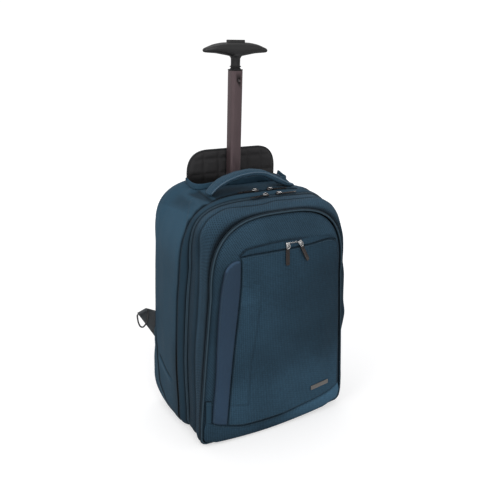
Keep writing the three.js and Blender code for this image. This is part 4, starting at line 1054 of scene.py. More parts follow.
def gusset_disp(P, Y0):
    x, z = P[..., 0], P[..., 2]
    e, f = Y0 + 117.1, -65.3 - Y0
    top = smooth(415, 447, z)
    c = Y0 - seam_c(P)
    d = 0.3 + lip(e, 2.0) + lip(f, 2.2)
    d -= 1.6 * gauss(f, 3.0) * smooth(215, 170, z) * smooth(30, 60, z) * (1 - top)
    d -= (0.75 + 0.75 * top) * gauss(c, 1.3 + 1.4 * (1 - top))
    d += (1 - top) * 1.7 * gauss(c - 9, 7) + 0.9 * gauss(c + 12, 8) * (1 - top)
    d += top * (0.9 * gauss(c - 7, 6) + 0.7 * gauss(c + 9, 7))
    dent = smooth(4, -3, c) * gauss(np.maximum(-c - 14, 0), 9) * gauss((z - 388) / 1.0, 26)
    d -= 3.6 * dent * (1 - top)
    d -= 1.6 * smooth(3, -2, c) * gauss(-c - 6, 7) * smooth(210, 260, z) * smooth(360, 300, z)
    puff = curve([0, 10, 25, 42, 60, 90, 120, 160, 185, 210, 240, 290, 330, 370, 400, 430, 480], [0.5, 1, 5, 7.6, 7.2, 4.2, 2.0, 2.4, 5, 7.5, 5.5, 6, 3.5, 3.5, 2, 0, 0], z)
    d += 1.5 * (puff + 0.8) * smooth(60, 120, x) * smooth(-84, -100, Y0) * smooth(0, 6, e)
    d += 2.5 * smooth(60, 110, -x) * smooth(40, 16, z) * smooth(0, 6, e)
    d -= 6.2 * smooth(112, 150, x) * smooth(40, 6, z) * smooth(-70, -100, Y0)
    d += corner_rise(P, Y0) - 2.0 * smooth(105, 125, x) * smooth(400, 440, z) * smooth(0, 16, e)
    d += 0.8 * noise(P, (50, 26, 90), 21) * smooth(0, 8, e) * smooth(0, 8, f)
    d += 0.35 * noise(P, (30, 14, 24), 23) * smooth(0, 6, e) * smooth(0, 6, f)
    return d


# Painted light and shade on the front gusset: the sides darker than the top, painted shade along the soft seam and both
# edges, a painted highlight beside the seam, and lighter towards the right.
def gusset_painted_shade(P, Y0):
    c, z = Y0 - seam_c(P), P[..., 2]
    top = smooth(405, 447, z)
    rear = smooth(-2, 3, c)
    x = P[..., 0]
    side = 0.67 - 0.16 * rear
    t = side * (1 - top) + (0.98 - 0.08 * smooth(20, -70, x)) * top
    t *= 1 - (0.56 + 0.12 * top) * gauss(c, 2.1) - 0.72 * gauss(Y0 + 65.3, 3.2) - 0.74 * gauss(Y0 + 117.1, 4.2)
    t *= 1 + 0.22 * gauss(-c - 5, 3.5) * (1 - top) + 0.10 * smooth(20, 110, x) * top
    return t * (1 + 0.12 * smooth(60, 120, x) * (1 - top))


gusset, *_ = band("front_gusset_cloth", rows_between(-117.1, -65.3, 1.5), gusset_disp, WALL, FINE, 4, gusset_painted_shade)
piece(gusset, TWILL, replaces=("front_gusset",))

# corded seam round the front
pip = rings([Y_FRONT], PIPING_D / 2 - 1.2, FINE)[0]
pip_n = grid_normals(rings([Y_FRONT - 1, Y_FRONT + 1], PIPING_D / 2 - 1.2, FINE), True)[0]
if (pip_n * np.column_stack([pip[:, 0], 0 * pip[:, 0], pip[:, 2] - 240])).sum() < 0:
    pip_n = -pip_n
proud = unit(pip_n + [0, -0.9, 0])
low = smooth(16, 7, pip[:, 2]) * smooth(142, 128, np.abs(pip[:, 0]))
up = 6.5 * smooth(112, 150, pip[:, 0]) * smooth(40, 6, pip[:, 2])
pip = pip + np.column_stack([-0.5 * up, 3.0 * low, 2.6 * low + 0.85 * up])
cord = tube("front_piping_cord", pip - pip_n * 0.9 + [0, -2.3, 0], 1.5, 10, closed=True, normal=pip_n)
cord.data.attributes["tone"].data.foreach_set("value", np.full(len(cord.data.vertices), 0.80, np.float32))
piece(cord, PIPING)
piece(tube("front_piping_tape", pip - proud * 0.2, 2.3, 10, closed=True, normal=pip_n), TAPE, replaces=("front_piping",))

# ------------------------------------------------------------------ front wall
FRONT = section(Y_FRONT)
kick_z, strip_l, strip_r = table(KICK_SEAM, 0, 1), table(STRIP, 0, 1), table(STRIP, 0, 2)
pocket_top, pocket_right = table(POCKET_TOP, 0, 1), table(POCKET_RIGHT, 0, 1)


def front_width(z):
    z = np.asarray(z, float)
    t = np.clip((z - FRONT["zSh"]) / (FRONT["zTop"] - FRONT["zSh"]), 0, 1)
    return np.where(z <= FRONT["zSh"], half_width(FRONT, z), FRONT["shoulder"] * (1 - t ** FRONT["square"]) ** (1 / FRONT["square"]))


def front_y(x, z):
    u = np.minimum(1, np.abs(x) / np.maximum(20, front_width(z)))
    t = np.clip((z - FRONT["zBot"]) / (FRONT["zTop"] - FRONT["zBot"]), 0, 1)
    tall = 0.45 + 0.55 * np.sin(math.pi * t) + 0.4 * np.exp(-((t / 0.14) ** 2))
    return Y_FRONT + LEAN * z - BULGE * (1 - u ** 2.6) * tall * np.minimum(1, (1 - t) * 6) - 1.2


def corner_lift(x, z):
    """The right lower corner is drawn up and in a little."""
    return 6.5 * smooth(112, 150, x) * smooth(40, 6, z)


def on_front(uv, out):
    """Points on the front wall, standing out by out mm."""
    x, z = uv[:, 0], uv[:, 1]
    up = corner_lift(x, z)
    return np.stack([x - 0.5 * up, front_y(x, z) - out, z + 0.85 * up], -1)


def front_normals(p):
    h = 1.0
    gx = (front_y(p[:, 0] + h, p[:, 2]) - front_y(p[:, 0] - h, p[:, 2])) / (2 * h)
    gz = (front_y(p[:, 0], p[:, 2] + h) - front_y(p[:, 0], p[:, 2] - h)) / (2 * h)
    return unit(np.stack([gx, -np.ones(len(p)), gz], -1))


def front_top(uv, d):
    x, z = uv[:, 0], uv[:, 1]
    P = on_front(uv, 0)
    margin = smooth(3, -3, x - strip_l(z)) * smooth(366, 340, z)
    out = 0.7 - 2.6 * (1 - smooth(0, 9, d)) + lip(d, 1.2)
    out -= 2.3 * margin * smooth(0, 4, d)
    under = (z < pocket_top(x) + 6) & (x > strip_l(z) - 4) & (x < pocket_right(z) + 2)
    out = np.where(under, np.minimum(out, 0.6), out)
    upper = smooth(392, 404, z)
    out += upper * (1.1 * gauss(d - 16, 9) + 0.5 * noise(P, (60, 60, 34), 31)) + 0.25 * noise(P, (22, 22, 18), 33) * smooth(0, 8, d)
    return on_front(uv, out)


def edge_line(fn, a, b, n=24, vertical=True):
    t = np.linspace(a, b, n)
    return [(float(fn(v)), float(v)) if vertical else (float(v), float(fn(v))) for v in t]


UPPER = table([(-92, 374), (-86, 381), (-80, 385.5), (-74, 387.4), (-54, 389.2), (-27, 391.4), (5, 392), (40, 391), (80, 390), (105, 388), (120, 383), (127, 377)], 0, 1)
STRIP_EDGE = np.array(edge_line(strip_l, 46, 358, 30))
RIGHT_EDGE = np.array(edge_line(pocket_right, 50, 366, 30))
COVER_EDGE = np.array(edge_line(UPPER, -90, 124, 30, False))


# Painted shade on the front wall: darker in the recessed margin, low down and towards the right, and along the outline,
# the strip, the pocket's right edge and the zip cover.
def front_painted_shade(uv, d):
    x, z = uv[:, 0], uv[:, 1]
    margin = smooth(3, -3, x - strip_l(z)) * smooth(380, 350, z)
    t = 0.88 - 0.10 * margin - 0.05 * smooth(420, 380, z) - 0.10 * smooth(20, 130, x)
    t *= 1 - 0.50 * gauss(d, 2.2) * smooth(8, 30, z)
    near = np.minimum(line_distance(uv, STRIP_EDGE)[0], line_distance(uv, RIGHT_EDGE)[0])
    t = t * (1 - 0.60 * gauss(near, 2.6))
    return t * (1 - 0.60 * gauss(line_distance(uv, COVER_EDGE)[0], 2.2) * smooth(75, 25, x))


front_poly = outline(Y_FRONT, PIPING_D + 0.3, MEDIUM)
# Painted light: lighter patches at the upper right, the lower left and the upper middle of the front wall.
piece(plate("front_panel_cloth", front_poly, 3.6, front_top, lambda uv, d: on_front(uv, -3.4), 22, lambda uv, d: front_painted_shade(uv, d) * (1 + 0.22 * smooth(60, 110, uv[:, 0]) * smooth(330, 380, uv[:, 1]) + 0.22 * smooth(-112, -128, uv[:, 0]) * smooth(240, 150, uv[:, 1]) + 0.16 * smooth(-20, -60, uv[:, 0]) * smooth(360, 400, uv[:, 1]))), TWILL, replaces=("front_panel",))


# pocket
pocket_poly = edge_line(lambda x: kick_z(x) + 0.9, -110.6, 151.3, 30, False) + edge_line(pocket_right, 52, 356, 24)
corner_top = [(131.5, 363), (127.5, 371), (120, 377.2), (110, 380.2)]
pocket_poly += corner_top + edge_line(pocket_top, 104, -90, 26, False) + edge_line(lambda z: strip_r(z) + 0.9, 366, 40, 26)
CREASE = [(-50, 276), (-52, 262), (-58, 215), (-66, 160), (-68.5, 110), (-69, 74)]
crease_x = table([(60, -69), (74, -69), (110, -68.5), (160, -66), (215, -58), (262, -52), (300, -50), (330, -50)], 0, 1)


def pocket_out(uv, d):
    x, z = uv[:, 0], uv[:, 1]
    P = on_front(uv, 0)
    out = LIFT + 2.6 + lip(d, 2.0) + 1.6 * smooth(0, 45, d)
    inner = smooth(1.2, -1.2, x - crease_x(z)) * smooth(76, 80, z) * smooth(320, 316, z)
    out += 0.7 * inner
    s, _ = line_distance(uv, CREASE)
    out -= 0.8 * gauss(s, 2.2)
    out += 0.9 * noise(P, (44, 44, 130), 41) * smooth(0, 20, d) + 0.35 * noise(P, (16, 16, 60), 43) * smooth(0, 12, d)
    return out


# Painted light and shade on the pocket: a painted highlight on the upper part beside the crease, darker towards the
# upper right, lighter low down and at the left, and painted shade along the crease, two short lines and the outline.
def pocket_painted_shade(uv, d):
    x, z = uv[:, 0], uv[:, 1]
    patch = smooth(0, -3, x - crease_x(z)) * smooth(280, 288, z) * smooth(322, 316, z)
    t = 1.0 + 0.16 * patch - 0.24 * smooth(0, 100, x) * smooth(120, 230, z) + 0.34 * smooth(165, 95, z) + 0.10 * smooth(10, -40, x) * smooth(190, 250, z) + 0.10 * smooth(-50, -85, x) * smooth(230, 280, z) + 0.05 * smooth(330, 370, z)
    s, _ = line_distance(uv, CREASE)
    t *= 1 - 0.22 * gauss(s, 1.8)
    for a, b in (((-87, 320), (-65, 316)), ((-104, 82), (-69, 72))):
        t *= 1 - 0.25 * gauss(line_distance(uv, np.array([a, b]))[0], 1.6)
    return t * (1 - 0.60 * gauss(d, 1.7))


piece(plate("pocket_cloth", pocket_poly, 3.2, lambda uv, d: on_front(uv, pocket_out(uv, d)), lambda uv, d: on_front(uv, LIFT - 0.4), 22, pocket_painted_shade), POCKET, replaces=("pocket_panel",))

# strip of smooth fabric left of the pocket
strip_poly = edge_line(lambda x: kick_z(x) + 1.2, -143, -113, 8, False) + edge_line(lambda z: strip_r(z) - 0.9, 42, 360, 26) + [(-89.5, 366), (-91.5, 369), (-97, 369.8), (-104, 368), (-111, 363.5), (-117, 356.5), (-121, 348)] + edge_line(strip_l, 336, 50, 26)


# Line of a painted highlight on the strip's rounded top corner.
STRIP_PAINTED_HIGHLIGHT = np.array([(-117.5, 352), (-112.5, 359), (-106, 364), (-99, 366.8), (-93, 367)])


def strip_out(uv, d):
    P = on_front(uv, 0)
    return LIFT + 2.2 + lip(d, 1.6) + 0.9 * smooth(0, 14, d) + 0.5 * noise(P, (40, 40, 110), 51) * smooth(0, 10, d)


# Strip tone: lighter towards the bottom, painted shade along the upper edge, and a painted highlight near the top-left
# corner.
piece(plate("strip_cloth", strip_poly, 3.4, lambda uv, d: on_front(uv, strip_out(uv, d)), lambda uv, d: on_front(uv, LIFT - 0.4), 22, lambda uv, d: (0.92 + 0.27 * smooth(330, 60, uv[:, 1])) * (1 - 0.45 * gauss(d, 1.3) * smooth(362, 345, uv[:, 1])) + 0.9 * gauss(line_distance(uv, STRIP_PAINTED_HIGHLIGHT)[0], 1.5)), TRIM, replaces=("pocket_trim",))

# zip cover over the pocket
cover_poly = edge_line(lambda x: pocket_top(x) + 1.1, -91, 104, 28, False) + [(111, 381.6), (119, 379.4), (125, 375.2)] + edge_line(UPPER, 126, -88, 32, False)


def cover_out(uv, d):
    x, z = uv[:, 0], uv[:, 1]
    P = on_front(uv, 0)
    t = np.clip((z - pocket_top(x)) / 15, 0, 1)
    return LIFT + 1.9 + lip(d, 1.4) + 1.0 * np.sin(t * math.pi) - 2.3 * smooth(40, 80, x) * t + 0.3 * noise(P, (30, 30, 30), 61)


# Painted shade on the zip cover: darker towards the right and along its edges, except the right part of the upper edge.
piece(plate("zip_cover", cover_poly, 2.6, lambda uv, d: on_front(uv, cover_out(uv, d)), lambda uv, d: on_front(uv, 0.9), 16, lambda uv, d: (1.0 - 0.16 * smooth(30, 120, uv[:, 0])) * (1 - 0.55 * gauss(d, 1.5) * (1 - smooth(30, 60, uv[:, 0]) * smooth(4, 8, uv[:, 1] - pocket_top(uv[:, 0]))))), POCKET, replaces=("pocket_zip",))

# kick panel below the curved seam
kick_lo = outline(Y_FRONT, PIPING_D + 1.0, MEDIUM)
kick_lo = kick_lo[(kick_lo[:, 1] < 40)]
right_side = kick_lo[kick_lo[:, 0] >= 0]
left_side = kick_lo[kick_lo[:, 0] < 0]
right_side = right_side[np.argsort(np.arctan2(right_side[:, 1] - 60, right_side[:, 0]))]
left_side = left_side[np.argsort(np.arctan2(left_side[:, 1] - 60, left_side[:, 0]))]
kick_poly = [tuple(p) for p in left_side] + [tuple(p) for p in right_side] + [(158, 46), (156, 53.5)] + edge_line(lambda x: kick_z(x) - 0.7, 150, -150, 40, False) + [(-156, 53.5), (-158, 46)]


def kick_out(uv, d):
    P = on_front(uv, 0)
    seam = smooth(10, 2, kick_z(uv[:, 0]) - uv[:, 1])
    return LIFT + 2.2 + lip(d, 1.8) * (0.5 + 0.5 * seam) - 1.2 * (1 - smooth(0, 10, d)) + 0.8 * smooth(0, 12, d) + 0.4 * noise(P, (50, 50, 20), 71) * smooth(0, 8, d)


def kick_top(uv, d):
    p = on_front(uv, kick_out(uv, d))
    p[:, 2] -= 4.2 * smooth(120, -40, p[:, 0]) * smooth(11, 0, d) * smooth(34, 16, p[:, 2]) * smooth(150, 132, np.abs(p[:, 0]))
    p[:, 2] = np.maximum(p[:, 2], 0.8)
    return p


# Painted light and shade on the kick panel: much lighter towards the right, painted shade along the curved seam and at
# the lower edge.
piece(plate("kick_cloth", kick_poly, 3.2, kick_top, lambda uv, d: on_front(uv, 0.7), 20, lambda uv, d: (1.05 + 1.20 * smooth(-20, 110, uv[:, 0])) * (1 - 0.55 * gauss(kick_z(uv[:, 0]) - 0.7 - uv[:, 1], 1.6)) * (1 - 0.25 * smooth(9, 0, d) * smooth(34, 16, uv[:, 1]))), POCKET, replaces=("kick_panel",))

# small tab on the left margin
tab_poly = round_corners([(-156.5, 13), (-143.6, 11), (-143.0, 97), (-156, 99)], [7, 7, 2, 2])


def tab_out(uv, d):
    return 0.9 + lip(d, 1.4) + 0.8 * smooth(0, 5, d)


# Painted shade darkens the tab's edges.
piece(plate("margin_tab", tab_poly, 2.6, lambda uv, d: on_front(uv, tab_out(uv, d)), lambda uv, d: on_front(uv, -2.0), 12, lambda uv, d: 0.86 * (1 - 0.6 * gauss(d, 1.5))), SHELL)


def front_path(points, out):
    p = smooth_line(np.asarray(points, float), 3.0)
    return on_front(p, out(p) if callable(out) else out)


def pocket_surface(p, extra=0.15):
    return pocket_out(p, np.full(len(p), 6.0)) + extra


rows = [
    (front_path(edge_line(lambda x: kick_z(x) + 3.2, -106, 146, 30, False), lambda p: pocket_surface(p)), front_normals),
    (front_path(edge_line(lambda x: kick_z(x) - 3.4, -140, 145, 30, False), lambda p: np.full(len(p), LIFT + 1.9)), front_normals),
    (front_path(edge_line(lambda x: pocket_top(x) - 2.6, -86, 112, 24, False), lambda p: pocket_surface(p)), front_normals),
    (front_path(edge_line(lambda z: strip_r(z) + 3.4, 44, 368, 24), lambda p: pocket_surface(p)), front_normals),
    (front_path(edge_line(lambda z: strip_l(z) + 2.8, 46, 350, 24), lambda p: np.full(len(p), LIFT + 2.7)), front_normals),
    (front_path([(-154, 92), (-143.5, 90.5)], lambda p: np.full(len(p), 1.9)), front_normals),
]
piece(stitches("front_stitching", rows), THREAD)

# ------------------------------------------------------------------ bare plate on the pocket
lx, lz = 99, 70
lf = float(front_y(lx, lz)) - LIFT - 5.0
slope = float(front_y(lx + 22, lz + 0.8) - front_y(lx - 22, lz - 0.8)) / 44
plate_poly = round_corners([(-22.5, -4.5), (22.5, -4.5), (22.5, 4.5), (-22.5, 4.5)], [1.2] * 4, 4)
TILT = math.radians(4.5)


def plate_place(uv, out):
    c, s = math.cos(TILT), math.sin(TILT)
    u, v = uv[:, 0] * c - uv[:, 1] * s, uv[:, 0] * s + uv[:, 1] * c
    return np.stack([lx + u, lf + slope * u - out, lz + v + 0], -1)


label = plate("bare_plate", plate_poly, 1.4, lambda uv, d: plate_place(uv, 1.1 + 0.6 * smooth(0, 0.8, d) - 0.28 * smooth(1.3, 1.8, d)), lambda uv, d: plate_place(uv, -0.4), 6, None, (0.2, 0.5, 0.8, 1.3, 1.8))
piece(label, PEWTER, replaces=("label_plate",), sharp=35)


# ------------------------------------------------------------------ inflated pads
def inflate(o, pinned, pressure=4.0, frames=16, cap=6.0, stiffness=14.0):
    """Cloth under pressure with some points held; the result is written into the mesh."""
    me = o.data
    rest = np.empty(len(me.vertices) * 3, np.float32)
    me.vertices.foreach_get("co", rest)
    rest = rest.reshape(-1, 3).astype(float)
    group = o.vertex_groups.new(name="held")
    for i in np.nonzero(pinned)[0]:
        group.add([int(i)], 1.0, "REPLACE")
    m = o.modifiers.new("cloth", "CLOTH")
    s = m.settings
    s.quality, s.mass = 5, 0.3
    s.tension_stiffness = s.compression_stiffness = stiffness
    s.shear_stiffness, s.bending_stiffness = 5, 0.5
    s.use_pressure, s.uniform_pressure_force = True, pressure
    s.effector_weights.gravity = 0
    s.vertex_group_mass = "held"
    m.collision_settings.use_collision = False
    m.point_cache.frame_start, m.point_cache.frame_end = 1, frames
    for f in range(1, frames + 1):
        scene.frame_set(f)
    dg = bpy.context.evaluated_depsgraph_get()
    ev = o.evaluated_get(dg).to_mesh()
    new = np.empty(len(me.vertices) * 3, np.float32)
    ev.vertices.foreach_get("co", new)
    new = new.reshape(-1, 3).astype(float)
    o.evaluated_get(dg).to_mesh_clear()
    o.modifiers.clear()
    o.vertex_groups.clear()
    scene.frame_set(1)
    move = new - rest
    far = np.linalg.norm(move, axis=1, keepdims=True)
    move *= np.minimum(1, cap * 0.001 / np.maximum(far, 1e-9))
    me.vertices.foreach_set("co", (rest + move).astype(np.float32).ravel())
    me.update()
    return o


PAD = dict(cx=6, w=99, r=42, z0=442, z1=531, y0=70.2, t=13)
pad_poly = round_corners([(PAD["cx"] - PAD["w"], PAD["z0"]), (PAD["cx"] + PAD["w"], PAD["z0"]), (PAD["cx"] + PAD["w"], PAD["z1"]), (PAD["cx"] - PAD["w"], PAD["z1"])], [6, 6, 46, 58], 12)
QUILT_X, QUILT_Z = 33.0, 30.0


def quilt_lines(uv, px, pz, ox=0.0, oz=0.0):
    """Distance to the nearest quilting line."""
    a = np.abs((uv[:, 0] - ox + px / 2) % px - px / 2)
    b = np.abs((uv[:, 1] - oz + pz / 2) % pz - pz / 2)
    return np.minimum(a, b)


def pad_front(uv, d):
    x, z = uv[:, 0], uv[:, 1]
    q = quilt_lines(uv, QUILT_X, QUILT_Z, PAD["cx"], PAD["z1"] - 16)
    out = 4.4 + lip(d, 6.0) * 0.9 + 2.0 * smooth(0, 8, q) * smooth(2, 10, d) - 1.5 * gauss(q, 1.0) * smooth(3, 6, d)
    return np.stack([x, PAD["y0"] + 6.5 + LEAN * z - out, z], -1)


def pad_back(uv, d):
    x, z = uv[:, 0], uv[:, 1]
    return np.stack([x, PAD["y0"] + 6.5 + LEAN * z + 4.6 + lip(d, 5.0) * 0.9, z], -1)


# Painted shadow: the pad's lower part is darker.
pad = plate("quilted_pad", pad_poly, 2.6, pad_front, pad_back, 5.0, lambda uv, d: 1.08 - 0.80 * smooth(486, 466, uv[:, 1] + 0.12 * (uv[:, 0] - 6)))
co = np.array([v.co for v in pad.data.vertices])
puv = np.stack([co[:, 0] * 1000, co[:, 2] * 1000], -1)
pq = quilt_lines(puv, QUILT_X, QUILT_Z, PAD["cx"], PAD["z1"] - 16)
inflate(pad, (pq < 1.4) | (edge_distance(puv, pad_poly) < 1.2), 3.0, 14, 2.6)
piece(pad, MESH, replaces=("back_pad",))

# binding round the pad's edge
pe = resample(pad_poly, 3.0)
pe3 = np.column_stack([pe[:, 0], PAD["y0"] + 6.5 + LEAN * pe[:, 1], pe[:, 1]])
piece(tube("pad_binding", pe3, 2.5, 8, closed=True, normal=np.broadcast_to([0.0, 1, 0], pe3.shape)), WEBBING)

# back panel: two padded columns with channels between
BACK_Y = Y_BACK + 2 + GAP


def back_out(uv, d):
    x, z = uv[:, 0], uv[:, 1]
    q = np.minimum(np.abs(x), np.minimum(np.abs(z - 200), np.minimum(np.abs(z - 285), np.abs(z - 370))))
    return 1.5 + 4.6 * smooth(0, 12, d) + 2.6 * smooth(0, 14, q) + lip(d, 2.0)


back_poly2 = round_corners([(-140, 86), (140, 86), (140, 452), (-140, 452)], [24, 24, 40, 40], 8)
bp = plate("back_panel_pad", back_poly2, 5.0, lambda uv, d: np.stack([uv[:, 0], BACK_Y + back_out(uv, d) + LEAN * uv[:, 1] - 0.6, uv[:, 1]], -1), lambda uv, d: np.stack([uv[:, 0], np.full(len(uv), BACK_Y - 0.9) + LEAN * uv[:, 1], uv[:, 1]], -1), 30)
co = np.array([v.co for v in bp.data.vertices]) * 1000
bq = np.minimum(np.abs(co[:, 0]), np.minimum(np.abs(co[:, 2] - 200), np.minimum(np.abs(co[:, 2] - 285), np.abs(co[:, 2] - 370))))
flat_back = co[:, 1] - Y_SHIFT - LEAN * co[:, 2] < BACK_Y + 0.2
inflate(bp, flat_back | (bq < 2.5) | (edge_distance(co[:, [0, 2]], back_poly2) < 2.5), 3.0, 12, 2.0)
piece(bp, MESH, replaces=("back_panel",))

# shoulder straps, flat on the back panel
STRAP = [(440, 46, 26), (400, 52, 31), (300, 66, 31), (225, 72, 25)]
sx, sw = table([(z, x) for z, x, w in STRAP[::-1]], 0, 1), table([(z, w) for z, x, w in STRAP[::-1]], 0, 1)
Y_STRAP = Y_BACK + 11.4 + GAP + 0.4
for side, s in (("left", -1), ("right", 1)):
    zs = np.linspace(228, 438, 30)
    poly = np.array([(s * (sx(z) + sw(z)), z) for z in zs] + [(s * (sx(z) - sw(z)), z) for z in zs[::-1]])
    poly = poly if s > 0 else poly[::-1]
    st = plate(f"strap_pad_{side}", poly, 3.6, lambda uv, d: np.stack([uv[:, 0], Y_STRAP + 2.5 + 6.2 * smooth(0, 9, d) + lip(d, 2.5) + LEAN * uv[:, 1], uv[:, 1]], -1), lambda uv, d: np.stack([uv[:, 0], Y_STRAP + 0.3 + 0 * d + LEAN * uv[:, 1], uv[:, 1]], -1), 14)
    co = np.array([v.co for v in st.data.vertices]) * 1000
    inflate(st, (edge_distance(co[:, [0, 2]], poly) < 5.0) | (co[:, 1] - Y_SHIFT - LEAN * co[:, 2] < Y_STRAP + 1.0), 3.0, 10, 1.6)
    zz = np.linspace(186, 232, 14)
    web = np.array([[(s * 73.5 - 12.5, Y_STRAP + 0.4 + LEAN * z, z), (s * 73.5 + 12.5, Y_STRAP + 0.4 + LEAN * z, z), (s * 73.5 + 12.5, Y_STRAP + 2.0 + LEAN * z, z), (s * 73.5 - 12.5, Y_STRAP + 2.0 + LEAN * z, z)] for z in zz])
    w = loft(f"strap_web_{side}", web)
    piece(w, WEBBING, sharp=40)
    piece(st, MESH, replaces=(f"strap_{side}",))
    rim_line = [(s * (sx(z) + sw(z) - 4.5), Y_STRAP + 7.4 + LEAN * z, z) for z in np.linspace(240, 430, 14)]
    rim_line2 = [(s * (sx(z) - sw(z) + 4.5), Y_STRAP + 7.4 + LEAN * z, z) for z in np.linspace(240, 430, 14)]
    piece(stitches(f"strap_stitching_{side}", [(rim_line, (0, 1, 0)), (rim_line2, (0, 1, 0))]), THREAD)

# low pocket on the back
stow_poly = round_corners([(-125, 92), (125, 92), (125, 180), (-125, 180)], [18, 18, 6, 6], 8)
stow = plate("stow_pocket_cloth", stow_poly, 4.0, lambda uv, d: np.stack([uv[:, 0], Y_STRAP + 2.4 + 4.2 * smooth(0, 20, d) + lip(d, 1.6) + 0.5 * noise(np.stack([uv[:, 0], uv[:, 1], 0 * d], -1), 30.0, 81) * smooth(0, 12, d) + LEAN * uv[:, 1], uv[:, 1]], -1), lambda uv, d: np.stack([uv[:, 0], Y_STRAP + 0 * d + LEAN * uv[:, 1], uv[:, 1]], -1), 20)
piece(stow, SHELL, replaces=("stow_pocket",))
piece(tube("stow_binding", np.array([(x, Y_STRAP + 3.0 + LEAN * 179, 179.5) for x in np.linspace(-120, 120, 60)]), 1.8, 8), WEBBING)

# ------------------------------------------------------------------ rim of the pole well
rim_rings = []
for i, (x, y) in enumerate(RIM_PLAN):
    a, b = RIM_PLAN[max(0, i - 1)], RIM_PLAN[min(len(RIM_PLAN) - 1, i + 1)]
    dx, dy = b - a
    nrm = np.array([-dy, dx]) / math.hypot(dx, dy)
    z = RIM_PATH[i][2]
    t = i / (len(RIM_PLAN) - 1)
    height = 10.5 + 1.5 * math.sin(t * math.pi) + 0.8 * math.sin(t * 23.0)
    prof = [(-2.2, -0.5), (-2.5, 2.5), (-1.6, 6), (-1.3, height - 1.2), (-0.7, height), (0.7, height), (1.3, height - 1.2), (1.5, 6), (1.6, 2.5), (1.6, -0.5)]
    lean = -1.2 + 0.9 * math.sin(t * 17.0)
    rim_rings.append([(x + nrm[0] * (u + lean * (v / 10)), y + nrm[1] * (u + lean * (v / 10)), z + v) for u, v in prof])
rim = loft("well_rim_cloth", np.array(rim_rings))
piece(rim, SHELL, replaces=("well_rim",))

# ------------------------------------------------------------------ carry handle
ARCH = np.array([(-98, 467), (-90, 475), (-78, 484), (-58, 492.5), (-32, 498.5), (-8, 500.5), (14, 498), (38, 488.5), (60, 477.5), (76, 471), (86, 469)], float)
H_YC, H_WIDE, H_THICK, STEPS = -29.0, 28.0, 11.0, 84
sec_a = np.arange(28) * 2 * math.pi / 28
hr, h_out = [], []
for i in range(STEPS + 1):
    x = -98 + 184 * i / STEPS
    z = float(curve(ARCH[:, 0], ARCH[:, 1], x))
    lo, hi = max(-98.0, x - 3), min(86.0, x + 3)
    slope = float(curve(ARCH[:, 0], ARCH[:, 1], hi) - curve(ARCH[:, 0], ARCH[:, 1], lo)) / (hi - lo)
    nx, nz = -slope / math.hypot(1, slope), 1 / math.hypot(1, slope)
    rise = min(i, STEPS - i) / STEPS
    taper = float(smooth(0, 0.16, rise))
    wide = H_WIDE * (0.78 + 0.22 * taper)
    thick = H_THICK * min(1.0, 0.50 + 3.2 * rise)
    rr = super_rho(sec_a, 3.4)
    v, u = rr * np.cos(sec_a) * 0.5, rr * np.sin(sec_a) * 0.5
    crown = 1 + 0.10 * np.cos(sec_a * 2 + math.pi)
    wave = 0.35 * math.sin(i * 0.5) * (0.4 if 14 < i < 70 else 1.0) * (u > 0)
    hr.append(np.stack([x + nx * (u * thick * crown + wave), H_YC + v * wide + np.zeros(28), z + nz * (u * thick * crown + wave)], -1))
    h_out.append((x + nx * thick * 0.5, z + nz * thick * 0.5, wide, nx, nz, thick))
# Painted light and shade on the handle: darker bands along each side, and lighter towards the right foot.
painted_edge_shade = 1 - 0.35 * gauss(np.abs(np.sin(sec_a)) - 0.35, 0.2)
handle = loft("carry_handle_cloth", np.array(hr), tone=np.linspace(0, 1, STEPS + 1)[:, None] ** 3 * 0.60 + np.broadcast_to(1.12 * painted_edge_shade, (STEPS + 1, 28)))
piece(handle, TWILL, replaces=("carry_handle",))
edges, runs = [], []
for sgn in (-1, 1):
    p = np.array([(x - nx * t * 0.30, H_YC + sgn * (w * 0.5 + 0.1), z - nz * t * 0.30) for x, z, w, nx, nz, t in h_out])
    edges.append(tube(f"handle_edge_{sgn}", p[1:-1], 1.2, 7, normal=np.broadcast_to([0.0, 1, 0], p[1:-1].shape)))
    runs.append(([(x + nx * 0.1, H_YC + sgn * (w * 0.5 - 4.2), z + nz * 0.1) for x, z, w, nx, nz, t in h_out[6:-6:4]], lambda q: np.stack([np.zeros(len(q)), np.zeros(len(q)), np.ones(len(q))], -1)))
# The edge cords carry the painted highlight colour.
piece(join(edges, "handle_piping"), HANDLE_EDGE_PAINTED_HIGHLIGHT)
piece(stitches("handle_stitching", runs), THREAD)

# small loop of webbing behind the handle's right foot
lp = smooth_line([(57, 7.5, 470), (63, 7, 477), (70, 6.8, 480.5), (77, 6.6, 480), (83.5, 6.8, 475.5), (88, 7.2, 468), (89, 7.5, 463)], 1.5)
loop_piece = tube("well_loop", lp, 3.4, 12, normal=np.broadcast_to([0.0, 1, 0], lp.shape), flat=0.75)
loop_piece.data.attributes["tone"].data.foreach_set("value", np.full(len(loop_piece.data.vertices), 0.85, np.float32))
piece(loop_piece, TRIM)


# ------------------------------------------------------------------ pole
def pole_y(z):
    return POLE_Y45 + POLE_LEAN * (z - 450)


def square_ring(w, r, z, seg=6):
    pts = []
    for sx_, sy_, a0 in ((1, -1, -90), (1, 1, 0), (-1, 1, 90), (-1, -1, 180)):
        for i in range(seg + 1):
            a = math.radians(a0 + 90 * i / seg)
            pts.append((POLE_X + sx_ * (w / 2 - r) + r * math.cos(a), pole_y(z) + sy_ * (w / 2 - r) + r * math.sin(a), z))
    return pts


